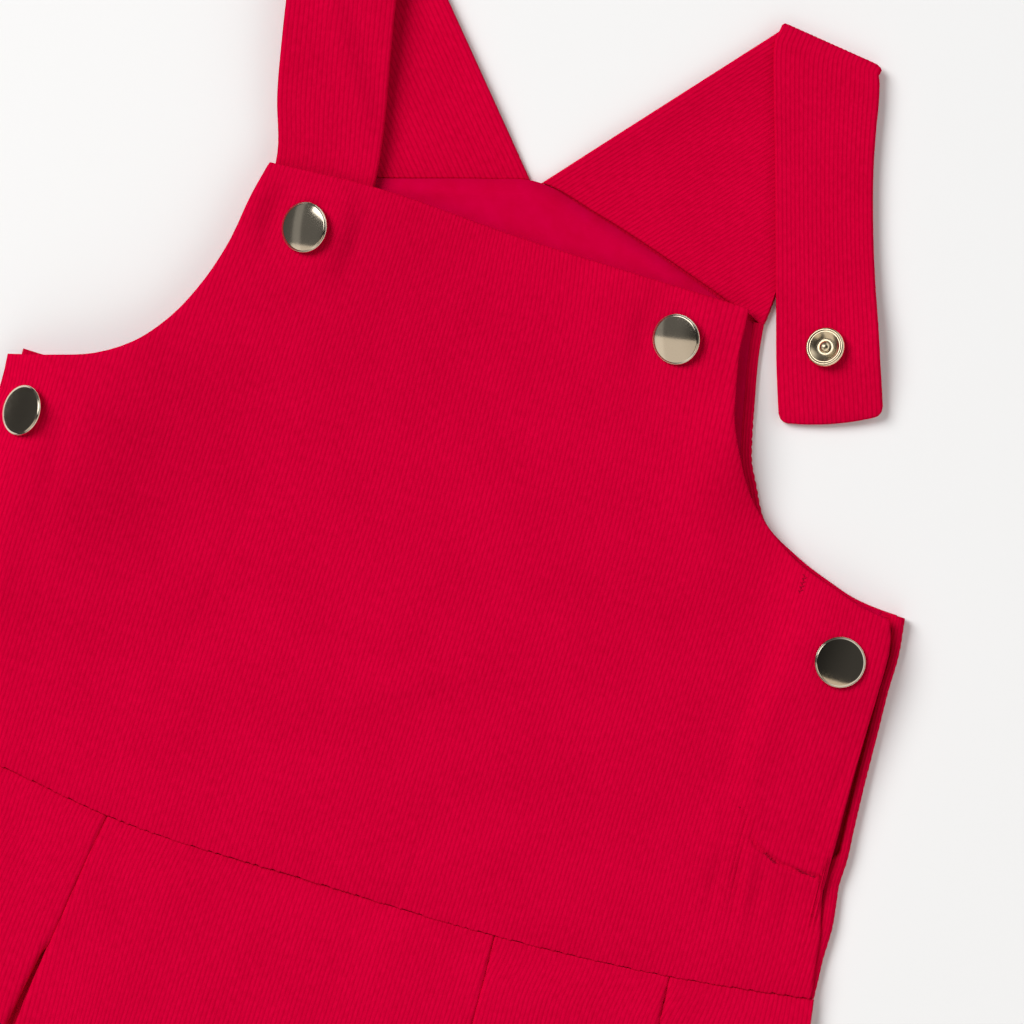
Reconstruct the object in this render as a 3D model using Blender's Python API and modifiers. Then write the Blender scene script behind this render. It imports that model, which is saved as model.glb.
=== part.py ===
"""Child's pinafore dress in fine corduroy, laid flat on its back.

Sizes are in millimetres until a mesh is made. +X is the right side as the
dress lies, +Y runs up it from the hem to the shoulders and +Z up from the
surface that it lies on. The origin is on the underside of the back panel,
on the centre line, level with the top of the bib.
"""

import math

import bmesh
import bpy
import numpy as np
from mathutils import Matrix, Vector

MM = 0.001

# ---------------------------------------------------------------- cloth
SEAM_GAP = 0.3  # between two pieces that are sewn together
LAYER_GAP = 0.3  # between two layers that lie on each other
BACK_WALL = 1.2  # single corduroy
LINING_WALL = 1.0
LINING_INSET = 0.7  # behind the back's armholes
LINING_SIDE_INSET = 7.0  # behind its side edges
LINING_WAIST_INSET = 2.0  # above the waist seam
FRONT_WALL = 1.8  # corduroy with its facing turned in
SKIRT_WALL = 1.3
STRAP_WALL = 2.2  # corduroy on both sides
PLACKET_WALL = 1.2

BACK_TOP = BACK_WALL
LINING_UNDER = BACK_TOP + LAYER_GAP
LINING_TOP = LINING_UNDER + LINING_WALL
FRONT_REST = LINING_TOP + 0.4  # underside of the front where it lies flat

# ---------------------------------------------------------------- snaps
CAP_RADIUS = 7.5
CAP_DOME = 0.9  # rise of the dome above its rim
CAP_RIM = 1.0
SHANK_RADIUS = 1.8
HOLE_RADIUS = 2.2
HOLE_DEPTH = 8
SOCKET_RADIUS = 5.6
SOCKET_DEPTH = 1.6
SOCKET_BORE = 2.2
STUD_RADIUS = 5.9
STUD_RING = 0.5
STUD_RIM = 1.1
BALL_RADIUS = 1.7
BALL_RISE = 1.5
PLATE_RADIUS = 4.5
PLATE_THICK = 0.5
SNAP_GAP = 0.3
# From the strap or placket under a closed snap to the panel over it.
SNAP_STANDOFF = 3 * SNAP_GAP + STUD_RING + SOCKET_DEPTH
STUD_LIFT = LAYER_GAP + PLATE_THICK + SNAP_GAP  # what the back plate lifts its cloth
TURN_SIDES = 16
HOLE_SIDES = 14

# ---------------------------------------------------------------- outlines
# Columns of each outline: x, y. Each runs upward or to the right.
FRONT_WAIST = [
    (-144, -187), (-98, -190.5), (-65, -195.5), (0, -197), (54, -197), (105, -194), (147, -188.5),
]
BIB_TOP = [(-73, 0.3), (-40, 2), (0, 0.2), (40, -0.5), (73, -0.8)]
FRONT_SIDE_RIGHT = [(147, -188.5), (144, -168), (142, -152), (141.5, -125), (141.5, -92), (139.5, -76)]
FRONT_SIDE_LEFT = [(-144, -187), (-138, -150), (-133, -112), (-130.5, -92), (-131, -75)]
FRONT_ARMHOLE_RIGHT = [
    (139.5, -76), (124, -73), (110, -68.8), (99, -62), (90, -54),
    (83.5, -44.8), (77.7, -32.5), (74, -13), (73, -0.8),
]
FRONT_ARMHOLE_LEFT = [
    (-131, -75), (-118, -71.5), (-105, -67), (-95, -60), (-88.5, -52),
    (-81.5, -38), (-77.5, -24.5), (-75.5, -11), (-73, 0.3),
]
BACK_TOP_EDGE = [(-73.5, -3), (-40, 5.5), (-10, 14), (3, 17.2), (23.5, 13), (53.5, 4), (77, -3)]
BACK_WAIST = [
    (-139, -187), (-98, -190.5), (-65, -195.5), (0, -197), (54, -197), (105, -194), (147.6, -189),
]
BACK_SIDE_RIGHT = [(147.6, -189), (146.6, -160), (144.6, -123), (142.8, -93), (141.6, -75)]
BACK_SIDE_LEFT = [(-139, -187), (-134, -150), (-129, -112), (-127, -92), (-127, -71.9)]
BACK_ARMHOLE_RIGHT = [
    (141.6, -75), (126, -73.2), (107, -67), (94.5, -58.5), (87.4, -45.8),
    (82.2, -26), (78.8, -11), (77, -3),
]
BACK_ARMHOLE_LEFT = [
    (-127, -71.9), (-117, -71.8), (-105, -68.2), (-94.5, -61.5), (-87.3, -51.5),
    (-80.6, -38), (-76.6, -24), (-74.6, -11), (-73.5, -3),
]
HEM_DROP = 191  # from the waist seam to the hem
HEM_LEFT = -184
HEM_RIGHT = 182

FRONT_ROWS = 13  # along a side, and again along an armhole
FRONT_COLUMNS = 34
BACK_ROWS = 9
BACK_COLUMNS = 16
PLACKET_ROWS = 10
ROLL_COLUMNS = 8  # extra columns where the left side rolls down

# ---------------------------------------------------------------- heights
# Soft swells of the front: name, centre x, centre y, reach in x, reach in y, rise.
FRONT_SWELLS = [
    ("left strap under the bib", -57.6, -14.6, 27, 38, 5.9),
    ("right bib snap", 54, -16, 24, 24, 1.9),
    ("right armhole edge standing off", 84, -30, 15, 34, 2.0),
    ("right side snap", 127, -92, 24, 32, 3.2),
    ("belly of the bodice", 5, -95, 85, 70, 1.2),
]
PLACKET_RISE = 1.6  # the front over the right placket strip
PLACKET_INNER = 112  # inner edge of the placket strips, from the centre line
PLACKET_TOP = -77.5
PLACKET_BOTTOM = -153
ROLL_PEAK = 14.5  # underside of the front on top of the rolled left side
ROLL_FOOT = 3.2  # underside of the front at its left edge
ROLL_REACH = 21  # from the left edge to the top of the roll
ROLL_INWARD = 36  # how gently it falls towards the middle
ROLL_CENTRE = -88
ROLL_LENGTH = 58
CURL_RISE = 2.6  # the back's right edge turned up round the side
CURL_REACH = 5.0
CURL_COLUMNS = [0.968, 0.982, 0.992]  # extra columns there, as shares of the width

SNAP_FLAT = 8.5  # the cloth is pressed flat this far round a snap
SNAP_FADE = 7.0
# Underside of the front over a closed snap, but for the cloth that holds the stud.
OVER_STUD = LINING_TOP + STUD_LIFT + SNAP_STANDOFF
# Snaps of the front: name of the cap, name of the stud under it, x, y, and the
# front's underside there, or none where it leans with the rolled side. The
# right bib snap is open, so no stud lies under it.
FRONT_SNAPS = [
    ("bib_snap_left", "strap_stud_left", -57.6, -14.6, OVER_STUD + STRAP_WALL),
    ("bib_snap_right", None, 55.5, -15.1, LINING_TOP + SOCKET_DEPTH + 2.5 * SNAP_GAP),
    ("side_snap_left", "side_stud_left", -121.5, -90.0, None),
    ("side_snap_right", "side_stud_right", 127.2, -92.0, OVER_STUD + PLACKET_WALL),
]

# ---------------------------------------------------------------- straps
# Rows from the seam on the back to the shoulder, and from there to the free
# end: x and y of the edge towards the neck, height of the underside there,
# then the same for the edge towards the arm. The first row of each strap
# follows the back's top edge.
STRAP_RIGHT_BACK = [
    (3.6, 17.9, 0.0, 77.0, -2.4, 0.0),
    (18.4, 34.0, 0.0, 76.8, 15.0, 0.0),
    (33.5, 50.6, 0.0, 78.6, 33.0, 0.0),
    (48.2, 66.4, 0.0, 83.4, 56.0, 0.0),
    (58.6, 78.4, 0.0, 89.5, 73.2, 0.0),
]
STRAP_RIGHT_END = [
    (58.6, 78.4, 2.6, 89.5, 73.2, 2.6),
    (62.5, 61.0, 2.6, 92.8, 62.0, 2.6),
    (67.5, 44.0, 2.6, 96.3, 48.0, 2.6),
    (73.0, 26.0, 2.6, 101.6, 30.0, 2.6),
    (77.4, 11.5, 2.6, 106.0, 17.0, 3.2),
    (81.6, -2.0, 0.9, 110.6, 4.5, 4.4),
    (84.9, -12.8, 0.1, 113.6, -4.0, 4.4),
    (88.8, -23.8, 0.0, 117.2, -13.5, 2.8),
    (92.2, -29.0, 0.0, 119.0, -18.8, 1.6),
]
STRAP_LEFT_BACK = [
    (2.4, 17.9, 0.0, -73.5, -2.4, 0.0),
    (-10.6, 32.0, 0.0, -73.8, 14.0, 0.0),
    (-23.1, 46.5, 0.0, -76.5, 31.0, 0.0),
    (-37.0, 62.5, 0.0, -80.6, 49.0, 0.0),
    (-53.5, 80.0, 0.0, -85.5, 66.5, 0.0),
]
STRAP_LEFT_END = [
    (-53.5, 80.0, 2.6, -85.5, 66.5, 2.6),
    (-51.8, 61.0, 2.6, -83.3, 54.0, 2.6),
    (-48.2, 41.0, 2.6, -80.2, 36.5, 2.6),
    (-44.3, 21.5, 2.6, -77.0, 19.0, 2.6),
    (-42.2, 5.0, 3.1, -72.8, 3.5, 3.1),
    (-41.8, -6.0, 3.6, -72.0, -7.0, 3.6),
    (-42.2, -24.0, 3.6, -72.2, -25.0, 3.6),
    (-43.5, -34.5, 3.3, -71.5, -35.0, 3.3),
]
FOLD_SWELL = 1.3  # how far the fold's middle stands past the shoulder line
FOLD_TURNS = (-60, -20, 20, 60)  # degrees round the fold
STRAP_COLUMNS = 12
STRAP_STEP = 9.0
FREE_STUD = (97.6, -5.4)

# ---------------------------------------------------------------- skirt
# One half of the pleated skirt, from its centre outward: distance at the
# waist, distance at the hem, layer (0 on the back, 1 turned under, 2 on top).
CENTRE_PANEL = [(0, 0, 2), (20, 26, 2), (42, 56, 2), (57.8, 75.8, 2), (58.8, 77, 1.5)]
INNER_PLEAT = [
    (57.8, 75.8, 1), (44, 60, 1), (29.8, 45.6, 1), (28.8, 44.6, 0.5), (29.8, 45.6, 0), (44, 62, 0),
]
SIDE_PANEL = [(62, 82, 0.1), (72, 96, 1.3), (82, 110, 2), (97, 124, 2), (110.2, 136.8, 2), (111.2, 138, 1.5)]
OUTER_PLEAT = [
    (110.2, 136.8, 1), (97, 122, 1), (82.2, 106.6, 1), (81.2, 105.6, 0.5), (82.2, 106.6, 0), (98, 124, 0),
]
END_PANEL = [(115, 146, 0), (134, 166, 0), (152.4, 187, 0)]
PLEATS = CENTRE_PANEL + INNER_PLEAT + SIDE_PANEL + OUTER_PLEAT + END_PANEL
SKIRT_CENTRE = -5.4
ROLLED_FROM = 111.2  # beyond this the skirt's left side turns under with the rolled side
ROLLED_SHARE = 0.66
SKIRT_ROWS = 9

# ---------------------------------------------------------------- colours
CORDUROY = (0.604, 0.0006, 0.031, 1.0)
LINING = (0.604, 0.0006, 0.041, 1.0)
GOLD = (0.70, 0.60, 0.42, 1.0)


def clear_scene():
    for old in list(bpy.data.objects):
        bpy.data.objects.remove(old)


def collection(name):
    made = bpy.data.collections.new(name)
    bpy.context.scene.collection.children.link(made)
    return made


def material(name, colour, roughness, metallic=0.0):
    made = bpy.data.materials.new(name)
    made.use_nodes = True
    shader = made.node_tree.nodes["Principled BSDF"]
    shader.inputs["Base Color"].default_value = colour
    shader.inputs["Roughness"].default_value = roughness
    shader.inputs["Metallic"].default_value = metallic
    return made


# ---------------------------------------------------------------- curves
def along(points, shares):
    """Points of a smooth line through a table's rows, at shares of its length."""
    table = np.array(points, float)
    steps = np.linalg.norm(np.diff(table[:, :2], axis=0), axis=1)
    length = np.concatenate([[0], np.cumsum(steps)])
    tangent = np.gradient(table, length, axis=0)
    out = []
    for at in np.clip(shares, 0, 1) * length[-1]:
        i = int(min(np.searchsorted(length, at, side="right") - 1, len(table) - 2))
        span = length[i + 1] - length[i]
        t = (at - length[i]) / span
        a = (1 + 2 * t) * (1 - t) ** 2
        b = t * (1 - t) ** 2 * span
        c = t * t * (3 - 2 * t)
        d = t * t * (t - 1) * span
        out.append(a * table[i] + b * tangent[i] + c * table[i + 1] + d * tangent[i + 1])
    return np.array(out)


def line_length(points):
    return float(np.linalg.norm(np.diff(np.array(points, float)[:, :2], axis=0), axis=1).sum())


def side_points(side, armhole, side_rows, armhole_rows):
    """The side edge and the armhole as one run of points, with a point at the underarm."""
    lower = along(side, np.linspace(0, 1, side_rows + 1))
    upper = along(armhole, np.linspace(0, 1, armhole_rows + 1))
    return np.vstack([lower, upper[1:]])


def smooth(value, low, high):
    t = np.clip((value - low) / (high - low), 0, 1)
    return t * t * (3 - 2 * t)


def panel_rows(waist, left, right, top, shares):
    """Rows of a bodice panel between its two sides, bowed as the waist and the top are."""
    low, high = along(waist, shares), along(top, shares)
    across = shares[:, None]
    bow_low = low - (low[0] * (1 - across) + low[-1] * across)
    bow_high = high - (high[0] * (1 - across) + high[-1] * across)
    rows = []
    for i, (a, b) in enumerate(zip(left, right)):
        t = i / (len(left) - 1)
        rows.append(a * (1 - across) + b * across + bow_low * (1 - t) ** 2 + bow_high * t ** 4)
    return rows


# ---------------------------------------------------------------- heights
def edge_x(side, y):
    table = np.array(side, float)
    order = np.argsort(table[:, 1])
    return float(np.interp(y, table[order, 1], table[order, 0]))


def loose_front(x, y):
    """Underside of the front before the snaps press it flat."""
    rise = FRONT_REST
    for _, at_x, at_y, reach_x, reach_y, lift in FRONT_SWELLS:
        rise += lift * math.exp(-((x - at_x) / reach_x) ** 2 - ((y - at_y) / reach_y) ** 2)
    over_strip = smooth(x, PLACKET_INNER - 12, PLACKET_INNER + 2)
    rise += PLACKET_RISE * over_strip * smooth(y, PLACKET_BOTTOM - 12, PLACKET_BOTTOM + 2)
    inward = x - edge_x(FRONT_SIDE_LEFT, y)
    peak = (ROLL_PEAK - FRONT_REST) * math.exp(-((y - ROLL_CENTRE) / ROLL_LENGTH) ** 2)
    if inward >= ROLL_REACH:
        return rise + peak * math.exp(-((inward - ROLL_REACH) / ROLL_INWARD) ** 2)
    turn = math.sin(math.pi / 2 * max(inward, 0) / ROLL_REACH)
    return ROLL_FOOT + (rise + peak - ROLL_FOOT) * turn


def front_slope(x, y):
    step = 2.0
    return (
        (loose_front(x + step, y) - loose_front(x - step, y)) / (2 * step),
        (loose_front(x, y + step) - loose_front(x, y - step)) / (2 * step),
    )


def front_under(x, y):
    """Underside of the front, flat around each snap."""
    rise = loose_front(x, y)
    for _, _, at_x, at_y, level in FRONT_SNAPS:
        near = 1 - smooth(math.hypot(x - at_x, y - at_y), SNAP_FLAT, SNAP_FLAT + SNAP_FADE)
        if near > 0 and level:
            rise += near * (level - rise)
        elif near > 0:
            dx, dy = front_slope(at_x, at_y)
            flat = loose_front(at_x, at_y) + dx * (x - at_x) + dy * (y - at_y)
            rise += near * (flat - rise)
    return rise


def front_normal(x, y):
    dx, dy = front_slope(x, y)
    return Vector((-dx, -dy, 1)).normalized()


def back_curl(x, y):
    """Height of the back's right edge where it turns up round the side."""
    if y > BACK_SIDE_RIGHT[-1][1] + 1:
        return 0.0
    opened = smooth(y, PLACKET_BOTTOM - 14, PLACKET_BOTTOM + 4)
    return CURL_RISE * opened * (1 - smooth(edge_x(BACK_SIDE_RIGHT, y) - x, 0.0, CURL_REACH))


# ---------------------------------------------------------------- solids
def sheet(name, rows, wall, finish, parts):
    """A wall of cloth about rows of points on its middle surface."""
    mesh = bpy.data.meshes.new(name)
    build = bmesh.new()
    grid = [[build.verts.new([c * MM for c in point]) for point in row] for row in rows]
    for low, high in zip(grid, grid[1:]):
        for i in range(len(low) - 1):
            build.faces.new((low[i], low[i + 1], high[i + 1], high[i]))
    build.to_mesh(mesh)
    build.free()
    mesh.materials.append(finish)
    made = bpy.data.objects.new(name, mesh)
    parts.objects.link(made)
    solid = made.modifiers.new("wall", "SOLIDIFY")
    solid.thickness = wall * MM
    solid.offset = 0.0
    solid.use_even_offset = True
    return made


def turned(name, profile, sides, finish, parts):
    """A turned piece: its profile is radius and height, down its outer side."""
    mesh = bpy.data.meshes.new(name)
    build = bmesh.new()
    line = [build.verts.new((r * MM, 0, z * MM)) for r, z in profile]
    for a, b in zip(line, line[1:]):
        build.edges.new((a, b))
    build.to_mesh(mesh)
    build.free()
    mesh.materials.append(finish)
    made = bpy.data.objects.new(name, mesh)
    parts.objects.link(made)
    screw = made.modifiers.new("turn", "SCREW")
    screw.axis = "Z"
    screw.angle = 2 * math.pi
    screw.steps = screw.render_steps = sides
    screw.use_merge_vertices = True
    screw.merge_threshold = 1e-5
    screw.use_normal_calculate = False
    return made


def stand(made, place, normal):
    """Puts a turned piece at a point with its axis along a normal."""
    turn = Vector((0, 0, 1)).rotation_difference(Vector(normal).normalized()).to_matrix().to_4x4()
    made.matrix_world = Matrix.Translation(Vector(place) * MM) @ turn


def punch(cloth, place, normal, tools):
    """A snap's hole through a wall of cloth."""
    mesh = bpy.data.meshes.new("hole")
    build = bmesh.new()
    bmesh.ops.create_cone(
        build,
        cap_ends=True,
        segments=HOLE_SIDES,
        radius1=HOLE_RADIUS * MM,
        radius2=HOLE_RADIUS * MM,
        depth=HOLE_DEPTH * MM,
    )
    build.to_mesh(mesh)
    build.free()
    cutter = bpy.data.objects.new(f"hole_{cloth.name}_{len(tools.objects)}", mesh)
    tools.objects.link(cutter)
    cutter.hide_render = True
    cutter.display_type = "WIRE"
    stand(cutter, place, normal)
    cut = cloth.modifiers.new(cutter.name, "BOOLEAN")
    cut.operation = "DIFFERENCE"
    cut.object = cutter


def cap_profile():
    """Domed cap, its shank through the cloth and the socket under it."""
    over = SNAP_GAP
    under = -FRONT_WALL - SNAP_GAP
    foot = under - SOCKET_DEPTH
    return [
        (0, over + CAP_RIM + CAP_DOME),
        (CAP_RADIUS * 0.5, over + CAP_RIM + CAP_DOME * 0.78),
        (CAP_RADIUS * 0.88, over + CAP_RIM + CAP_DOME * 0.25),
        (CAP_RADIUS, over + CAP_RIM * 0.55),
        (CAP_RADIUS - 0.5, over),
        (SHANK_RADIUS, over),
        (SHANK_RADIUS, under),
        (SOCKET_RADIUS, under),
        (SOCKET_RADIUS, foot + 0.3),
        (SOCKET_RADIUS - 0.3, foot),
        (SOCKET_BORE, foot),
        (SOCKET_BORE, under - 0.2),
        (0, under - 0.2),
    ]


def stud_profile(wall):
    """Ring with a rolled rim and a ball, its shank through the cloth and the plate behind."""
    over = SNAP_GAP
    under = -wall - SNAP_GAP
    return [
        (0, over + STUD_RING + BALL_RISE),
        (BALL_RADIUS * 0.8, over + STUD_RING + BALL_RISE * 0.85),
        (BALL_RADIUS, over + STUD_RING + BALL_RISE * 0.5),
        (BALL_RADIUS * 0.85, over + STUD_RING),
        (STUD_RADIUS, over + STUD_RING),
        (STUD_RADIUS, over),
        (SHANK_RADIUS, over),
        (SHANK_RADIUS, under),
        (PLATE_RADIUS, under),
        (PLATE_RADIUS, under - PLATE_THICK),
        (0, under - PLATE_THICK),
    ]


def open_stud_profile(wall):
    """The stud that shows: its rim stands up round a dish."""
    over = SNAP_GAP
    ring = stud_profile(wall)
    dish = [
        (STUD_RADIUS * 0.72, over + STUD_RING),
        (STUD_RADIUS * 0.82, over + STUD_RIM),
        (STUD_RADIUS * 0.93, over + STUD_RIM),
        (STUD_RADIUS, over + STUD_RING),
    ]
    return ring[:4] + dish + ring[5:]


# ---------------------------------------------------------------- garment
def make_back(corduroy, lining, parts):
    shares = np.unique(np.concatenate([np.linspace(0, 1, BACK_COLUMNS + 1), CURL_COLUMNS]))
    left = side_points(BACK_SIDE_LEFT, BACK_ARMHOLE_LEFT, BACK_ROWS, BACK_ROWS)
    right = side_points(BACK_SIDE_RIGHT, BACK_ARMHOLE_RIGHT, BACK_ROWS, BACK_ROWS)
    rows = panel_rows(BACK_WAIST, left, right, BACK_TOP_EDGE, shares)
    outer = [[(x, y, BACK_WALL / 2 + back_curl(x, y)) for x, y in row] for row in rows]
    sheet("back_bodice", outer, BACK_WALL, corduroy, parts)

    inner = []
    underarm = BACK_SIDE_LEFT[-1][1]
    rows[0][:, 1] += LINING_WAIST_INSET
    for row in rows:
        low, high = row[0, 0], row[-1, 0]
        at_side = 1 - smooth(row[0, 1], underarm, underarm + 20)
        inset = LINING_INSET + (LINING_SIDE_INSET - LINING_INSET) * at_side
        centre, shrink = (low + high) / 2, 1 - 2 * inset / (high - low)
        inner.append([(centre + (x - centre) * shrink, y, LINING_UNDER + LINING_WALL / 2) for x, y in row])
    sheet("back_lining", inner, LINING_WALL, lining, parts)


def make_front(corduroy, parts):
    flat = np.linspace(0, 1, FRONT_COLUMNS + 1)
    shares = np.concatenate([np.linspace(0, flat[3], ROLL_COLUMNS), flat[4:]])
    left = side_points(FRONT_SIDE_LEFT, FRONT_ARMHOLE_LEFT, FRONT_ROWS, FRONT_ROWS)
    right = side_points(FRONT_SIDE_RIGHT, FRONT_ARMHOLE_RIGHT, FRONT_ROWS, FRONT_ROWS)
    rows = panel_rows(FRONT_WAIST, left, right, BIB_TOP, shares)
    middle = [[(x, y, front_under(x, y) + FRONT_WALL / 2) for x, y in row] for row in rows]
    return sheet("front_bodice", middle, FRONT_WALL, corduroy, parts)


def make_strap(name, back, end, corduroy, parts):
    """A strap: up the back, over the shoulder and down to its free end."""
    shares = np.linspace(0, 1, STRAP_COLUMNS + 1)
    back_rows, end_rows = [
        along(table, np.linspace(0, 1, round(line_length(table) / STRAP_STEP) + 1)) for table in (back, end)
    ]

    def across(row, lift=0.0, shift=(0.0, 0.0)):
        inner, outer = np.array(row[:3]), np.array(row[3:])
        line = inner + (outer - inner) * shares[:, None]
        return line + np.array([shift[0], shift[1], STRAP_WALL / 2 + lift])

    rows = [across(row) for row in back_rows]
    top = along(BACK_TOP_EDGE, np.linspace(0, 1, 80))
    rows[0][:, 1] = np.interp(rows[0][:, 0], top[:, 0], top[:, 1]) + SEAM_GAP
    shoulder, first = back_rows[-1], end_rows[0]
    edge = Vector((shoulder[3] - shoulder[0], shoulder[4] - shoulder[1]))
    out = Vector((-edge.y, edge.x)) if edge.x > 0 else Vector((edge.y, -edge.x))
    out.normalize()
    half_lift = (first[2] - shoulder[2]) / 2
    for turn in FOLD_TURNS:
        swell = FOLD_SWELL * math.cos(math.radians(turn))
        rise = half_lift * (1 + math.sin(math.radians(turn)))
        rows.append(across(shoulder, rise, out * swell))
    rows += [across(row) for row in end_rows]
    return sheet(name, rows, STRAP_WALL, corduroy, parts)


def make_plackets(corduroy, parts):
    """The strips under the side openings: the left one hangs from the rolled front."""
    heights = np.linspace(PLACKET_BOTTOM, PLACKET_TOP, PLACKET_ROWS)
    depth = FRONT_WALL / 2 + SNAP_STANDOFF + PLACKET_WALL / 2
    lowest = LINING_TOP + LAYER_GAP + PLACKET_WALL / 2
    rows = []
    for y in heights:
        row = []
        for x in np.linspace(edge_x(BACK_SIDE_LEFT, y) - 0.6, -PLACKET_INNER + 6, 9):
            at = Vector((x, y, front_under(x, y) + FRONT_WALL / 2)) - front_normal(x, y) * depth
            row.append((at.x, y, max(at.z, lowest)))
        rows.append(row)
    left = sheet("placket_left", rows, PLACKET_WALL, corduroy, parts)

    snap_x, snap_y = FRONT_SNAPS[3][2:4]
    rows = []
    for y in heights:
        row = []
        for x in np.linspace(PLACKET_INNER, edge_x(BACK_SIDE_RIGHT, y) - CURL_REACH, 6):
            near = 1 - smooth(math.hypot(x - snap_x, y - snap_y), 7, 16)
            row.append((x, y, LINING_TOP + LAYER_GAP + PLACKET_WALL / 2 + (STUD_LIFT - LAYER_GAP) * near))
        rows.append(row)
    right = sheet("placket_right", rows, PLACKET_WALL, corduroy, parts)
    return left, right


def make_snaps(under, front, gold, parts, tools):
    """Caps on the front, each over the stud of the cloth that it closes on."""
    for cap_name, stud_name, x, y, level in FRONT_SNAPS:
        normal = Vector((0, 0, 1)) if level else front_normal(x, y)
        place = Vector((x, y, front_under(x, y) + FRONT_WALL / 2)) + normal * FRONT_WALL / 2
        stand(turned(cap_name, cap_profile(), TURN_SIDES, gold, parts), place, normal)
        punch(front, place, normal, tools)
        if stud_name:
            cloth, wall = under[stud_name]
            foot = place - normal * (FRONT_WALL + SNAP_STANDOFF)
            stand(turned(stud_name, stud_profile(wall), TURN_SIDES, gold, parts), foot, normal)
            punch(cloth, foot, normal, tools)


def make_free_stud(strap, gold, parts, tools):
    """The stud that shows on the free strap, standing on the cloth round it."""
    near = []
    for vertex in strap.data.vertices:
        point = vertex.co / MM
        if math.hypot(point.x - FREE_STUD[0], point.y - FREE_STUD[1]) < 1.4 * STRAP_STEP:
            near.append(point)
    grid = np.array([[p.x - FREE_STUD[0], p.y - FREE_STUD[1], 1] for p in near])
    dx, dy, rise = np.linalg.lstsq(grid, np.array([p.z for p in near]), rcond=None)[0]
    normal = Vector((-dx, -dy, 1)).normalized()
    place = Vector((*FREE_STUD, rise)) + normal * STRAP_WALL / 2
    stand(turned("strap_stud_right", open_stud_profile(STRAP_WALL), TURN_SIDES, gold, parts), place, normal)
    punch(strap, place, normal, tools)


def make_skirt(corduroy, parts):
    low = BACK_TOP + LAYER_GAP + SKIRT_WALL / 2
    layer = SKIRT_WALL + LAYER_GAP
    half = np.array(PLEATS, float)
    rolled = half.copy()
    rolled[:, 0] -= np.maximum(half[:, 0] - ROLLED_FROM, 0) * (1 - ROLLED_SHARE)
    rolled[:, 1] = np.minimum(half[:, 1], SKIRT_CENTRE - HEM_LEFT)
    path = np.vstack([rolled[:0:-1] * [-1, -1, 1], half])
    waist = along(FRONT_WAIST, np.linspace(0, 1, 60))
    rows = []
    for t in np.linspace(1, 0, SKIRT_ROWS):
        row = []
        for at_waist, at_hem, level in path:
            x = SKIRT_CENTRE + at_waist * (1 - t) + at_hem * t
            top = np.interp(SKIRT_CENTRE + at_waist, waist[:, 0], waist[:, 1]) - SEAM_GAP
            row.append((x, top - HEM_DROP * t, low + layer * level))
        rows.append(row)
    sheet("front_skirt", rows, SKIRT_WALL, corduroy, parts)

    rows = []
    shares = np.linspace(0, 1, BACK_COLUMNS + 1)
    top = along(BACK_WAIST, shares)
    for t in np.linspace(1, 0, 6):
        x = top[:, 0] * (1 - t) + (HEM_LEFT + (HEM_RIGHT - HEM_LEFT) * shares) * t
        rows.append([(a, b - SEAM_GAP - HEM_DROP * t, BACK_WALL / 2) for a, b in zip(x, top[:, 1])])
    sheet("back_skirt", rows, BACK_WALL, corduroy, parts)


def main():
    clear_scene()
    parts = collection("pinafore_dress")
    tools = collection("cutters")
    corduroy = material("red corduroy", CORDUROY, 0.9)
    lining = material("red lining", LINING, 0.8)
    gold = material("pale gold", GOLD, 0.2, 1.0)

    make_back(corduroy, lining, parts)
    front = make_front(corduroy, parts)
    make_skirt(corduroy, parts)
    strap_right = make_strap("strap_right", STRAP_RIGHT_BACK, STRAP_RIGHT_END, corduroy, parts)
    strap_left = make_strap("strap_left", STRAP_LEFT_BACK, STRAP_LEFT_END, corduroy, parts)
    placket_left, placket_right = make_plackets(corduroy, parts)
    under = {
        "strap_stud_left": (strap_left, STRAP_WALL),
        "side_stud_left": (placket_left, PLACKET_WALL),
        "side_stud_right": (placket_right, PLACKET_WALL),
    }
    make_snaps(under, front, gold, parts, tools)
    make_free_stud(strap_right, gold, parts, tools)


main()
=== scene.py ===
import math

import bpy
import numpy as np
from mathutils import Matrix, Vector


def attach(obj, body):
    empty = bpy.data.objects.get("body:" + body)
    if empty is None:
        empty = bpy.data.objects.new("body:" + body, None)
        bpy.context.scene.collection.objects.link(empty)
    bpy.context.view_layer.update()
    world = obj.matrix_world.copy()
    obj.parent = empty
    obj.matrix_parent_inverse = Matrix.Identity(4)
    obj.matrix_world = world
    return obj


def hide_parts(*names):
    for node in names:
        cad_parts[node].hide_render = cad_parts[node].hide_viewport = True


# A child's corduroy pinafore laid flat. Sizes are millimetres until a mesh is made.
mm = 0.001
wale = 1.28  # from one rib of the corduroy to the next
ribColumns = 3  # mesh columns to a rib: one in the groove, two on its round back
ribHeight = 0.085
walls = {"front": 1.8, "skirt": 1.3, "strap": 2.2, "back": 1.2, "lining": 1.0, "strip": 1.2}
imageTurn = math.radians(16.5)  # how far the dress lies turned in the picture

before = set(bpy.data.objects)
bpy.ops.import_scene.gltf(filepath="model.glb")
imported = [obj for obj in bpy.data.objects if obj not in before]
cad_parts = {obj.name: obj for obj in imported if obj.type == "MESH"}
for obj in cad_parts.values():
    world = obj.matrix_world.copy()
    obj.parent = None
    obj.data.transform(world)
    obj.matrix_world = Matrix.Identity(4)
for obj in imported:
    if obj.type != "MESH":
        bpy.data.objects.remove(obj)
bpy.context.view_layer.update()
rng = np.random.default_rng(7)


def srgb(text):
    parts = [int(text[i : i + 2], 16) / 255 for i in (1, 3, 5)]
    return tuple(c / 12.92 if c <= 0.04045 else ((c + 0.055) / 1.055) ** 2.4 for c in parts) + (1.0,)


def smooth(value, low, high):
    t = np.clip((value - low) / (high - low), 0, 1)
    return t * t * (3 - 2 * t)


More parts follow.
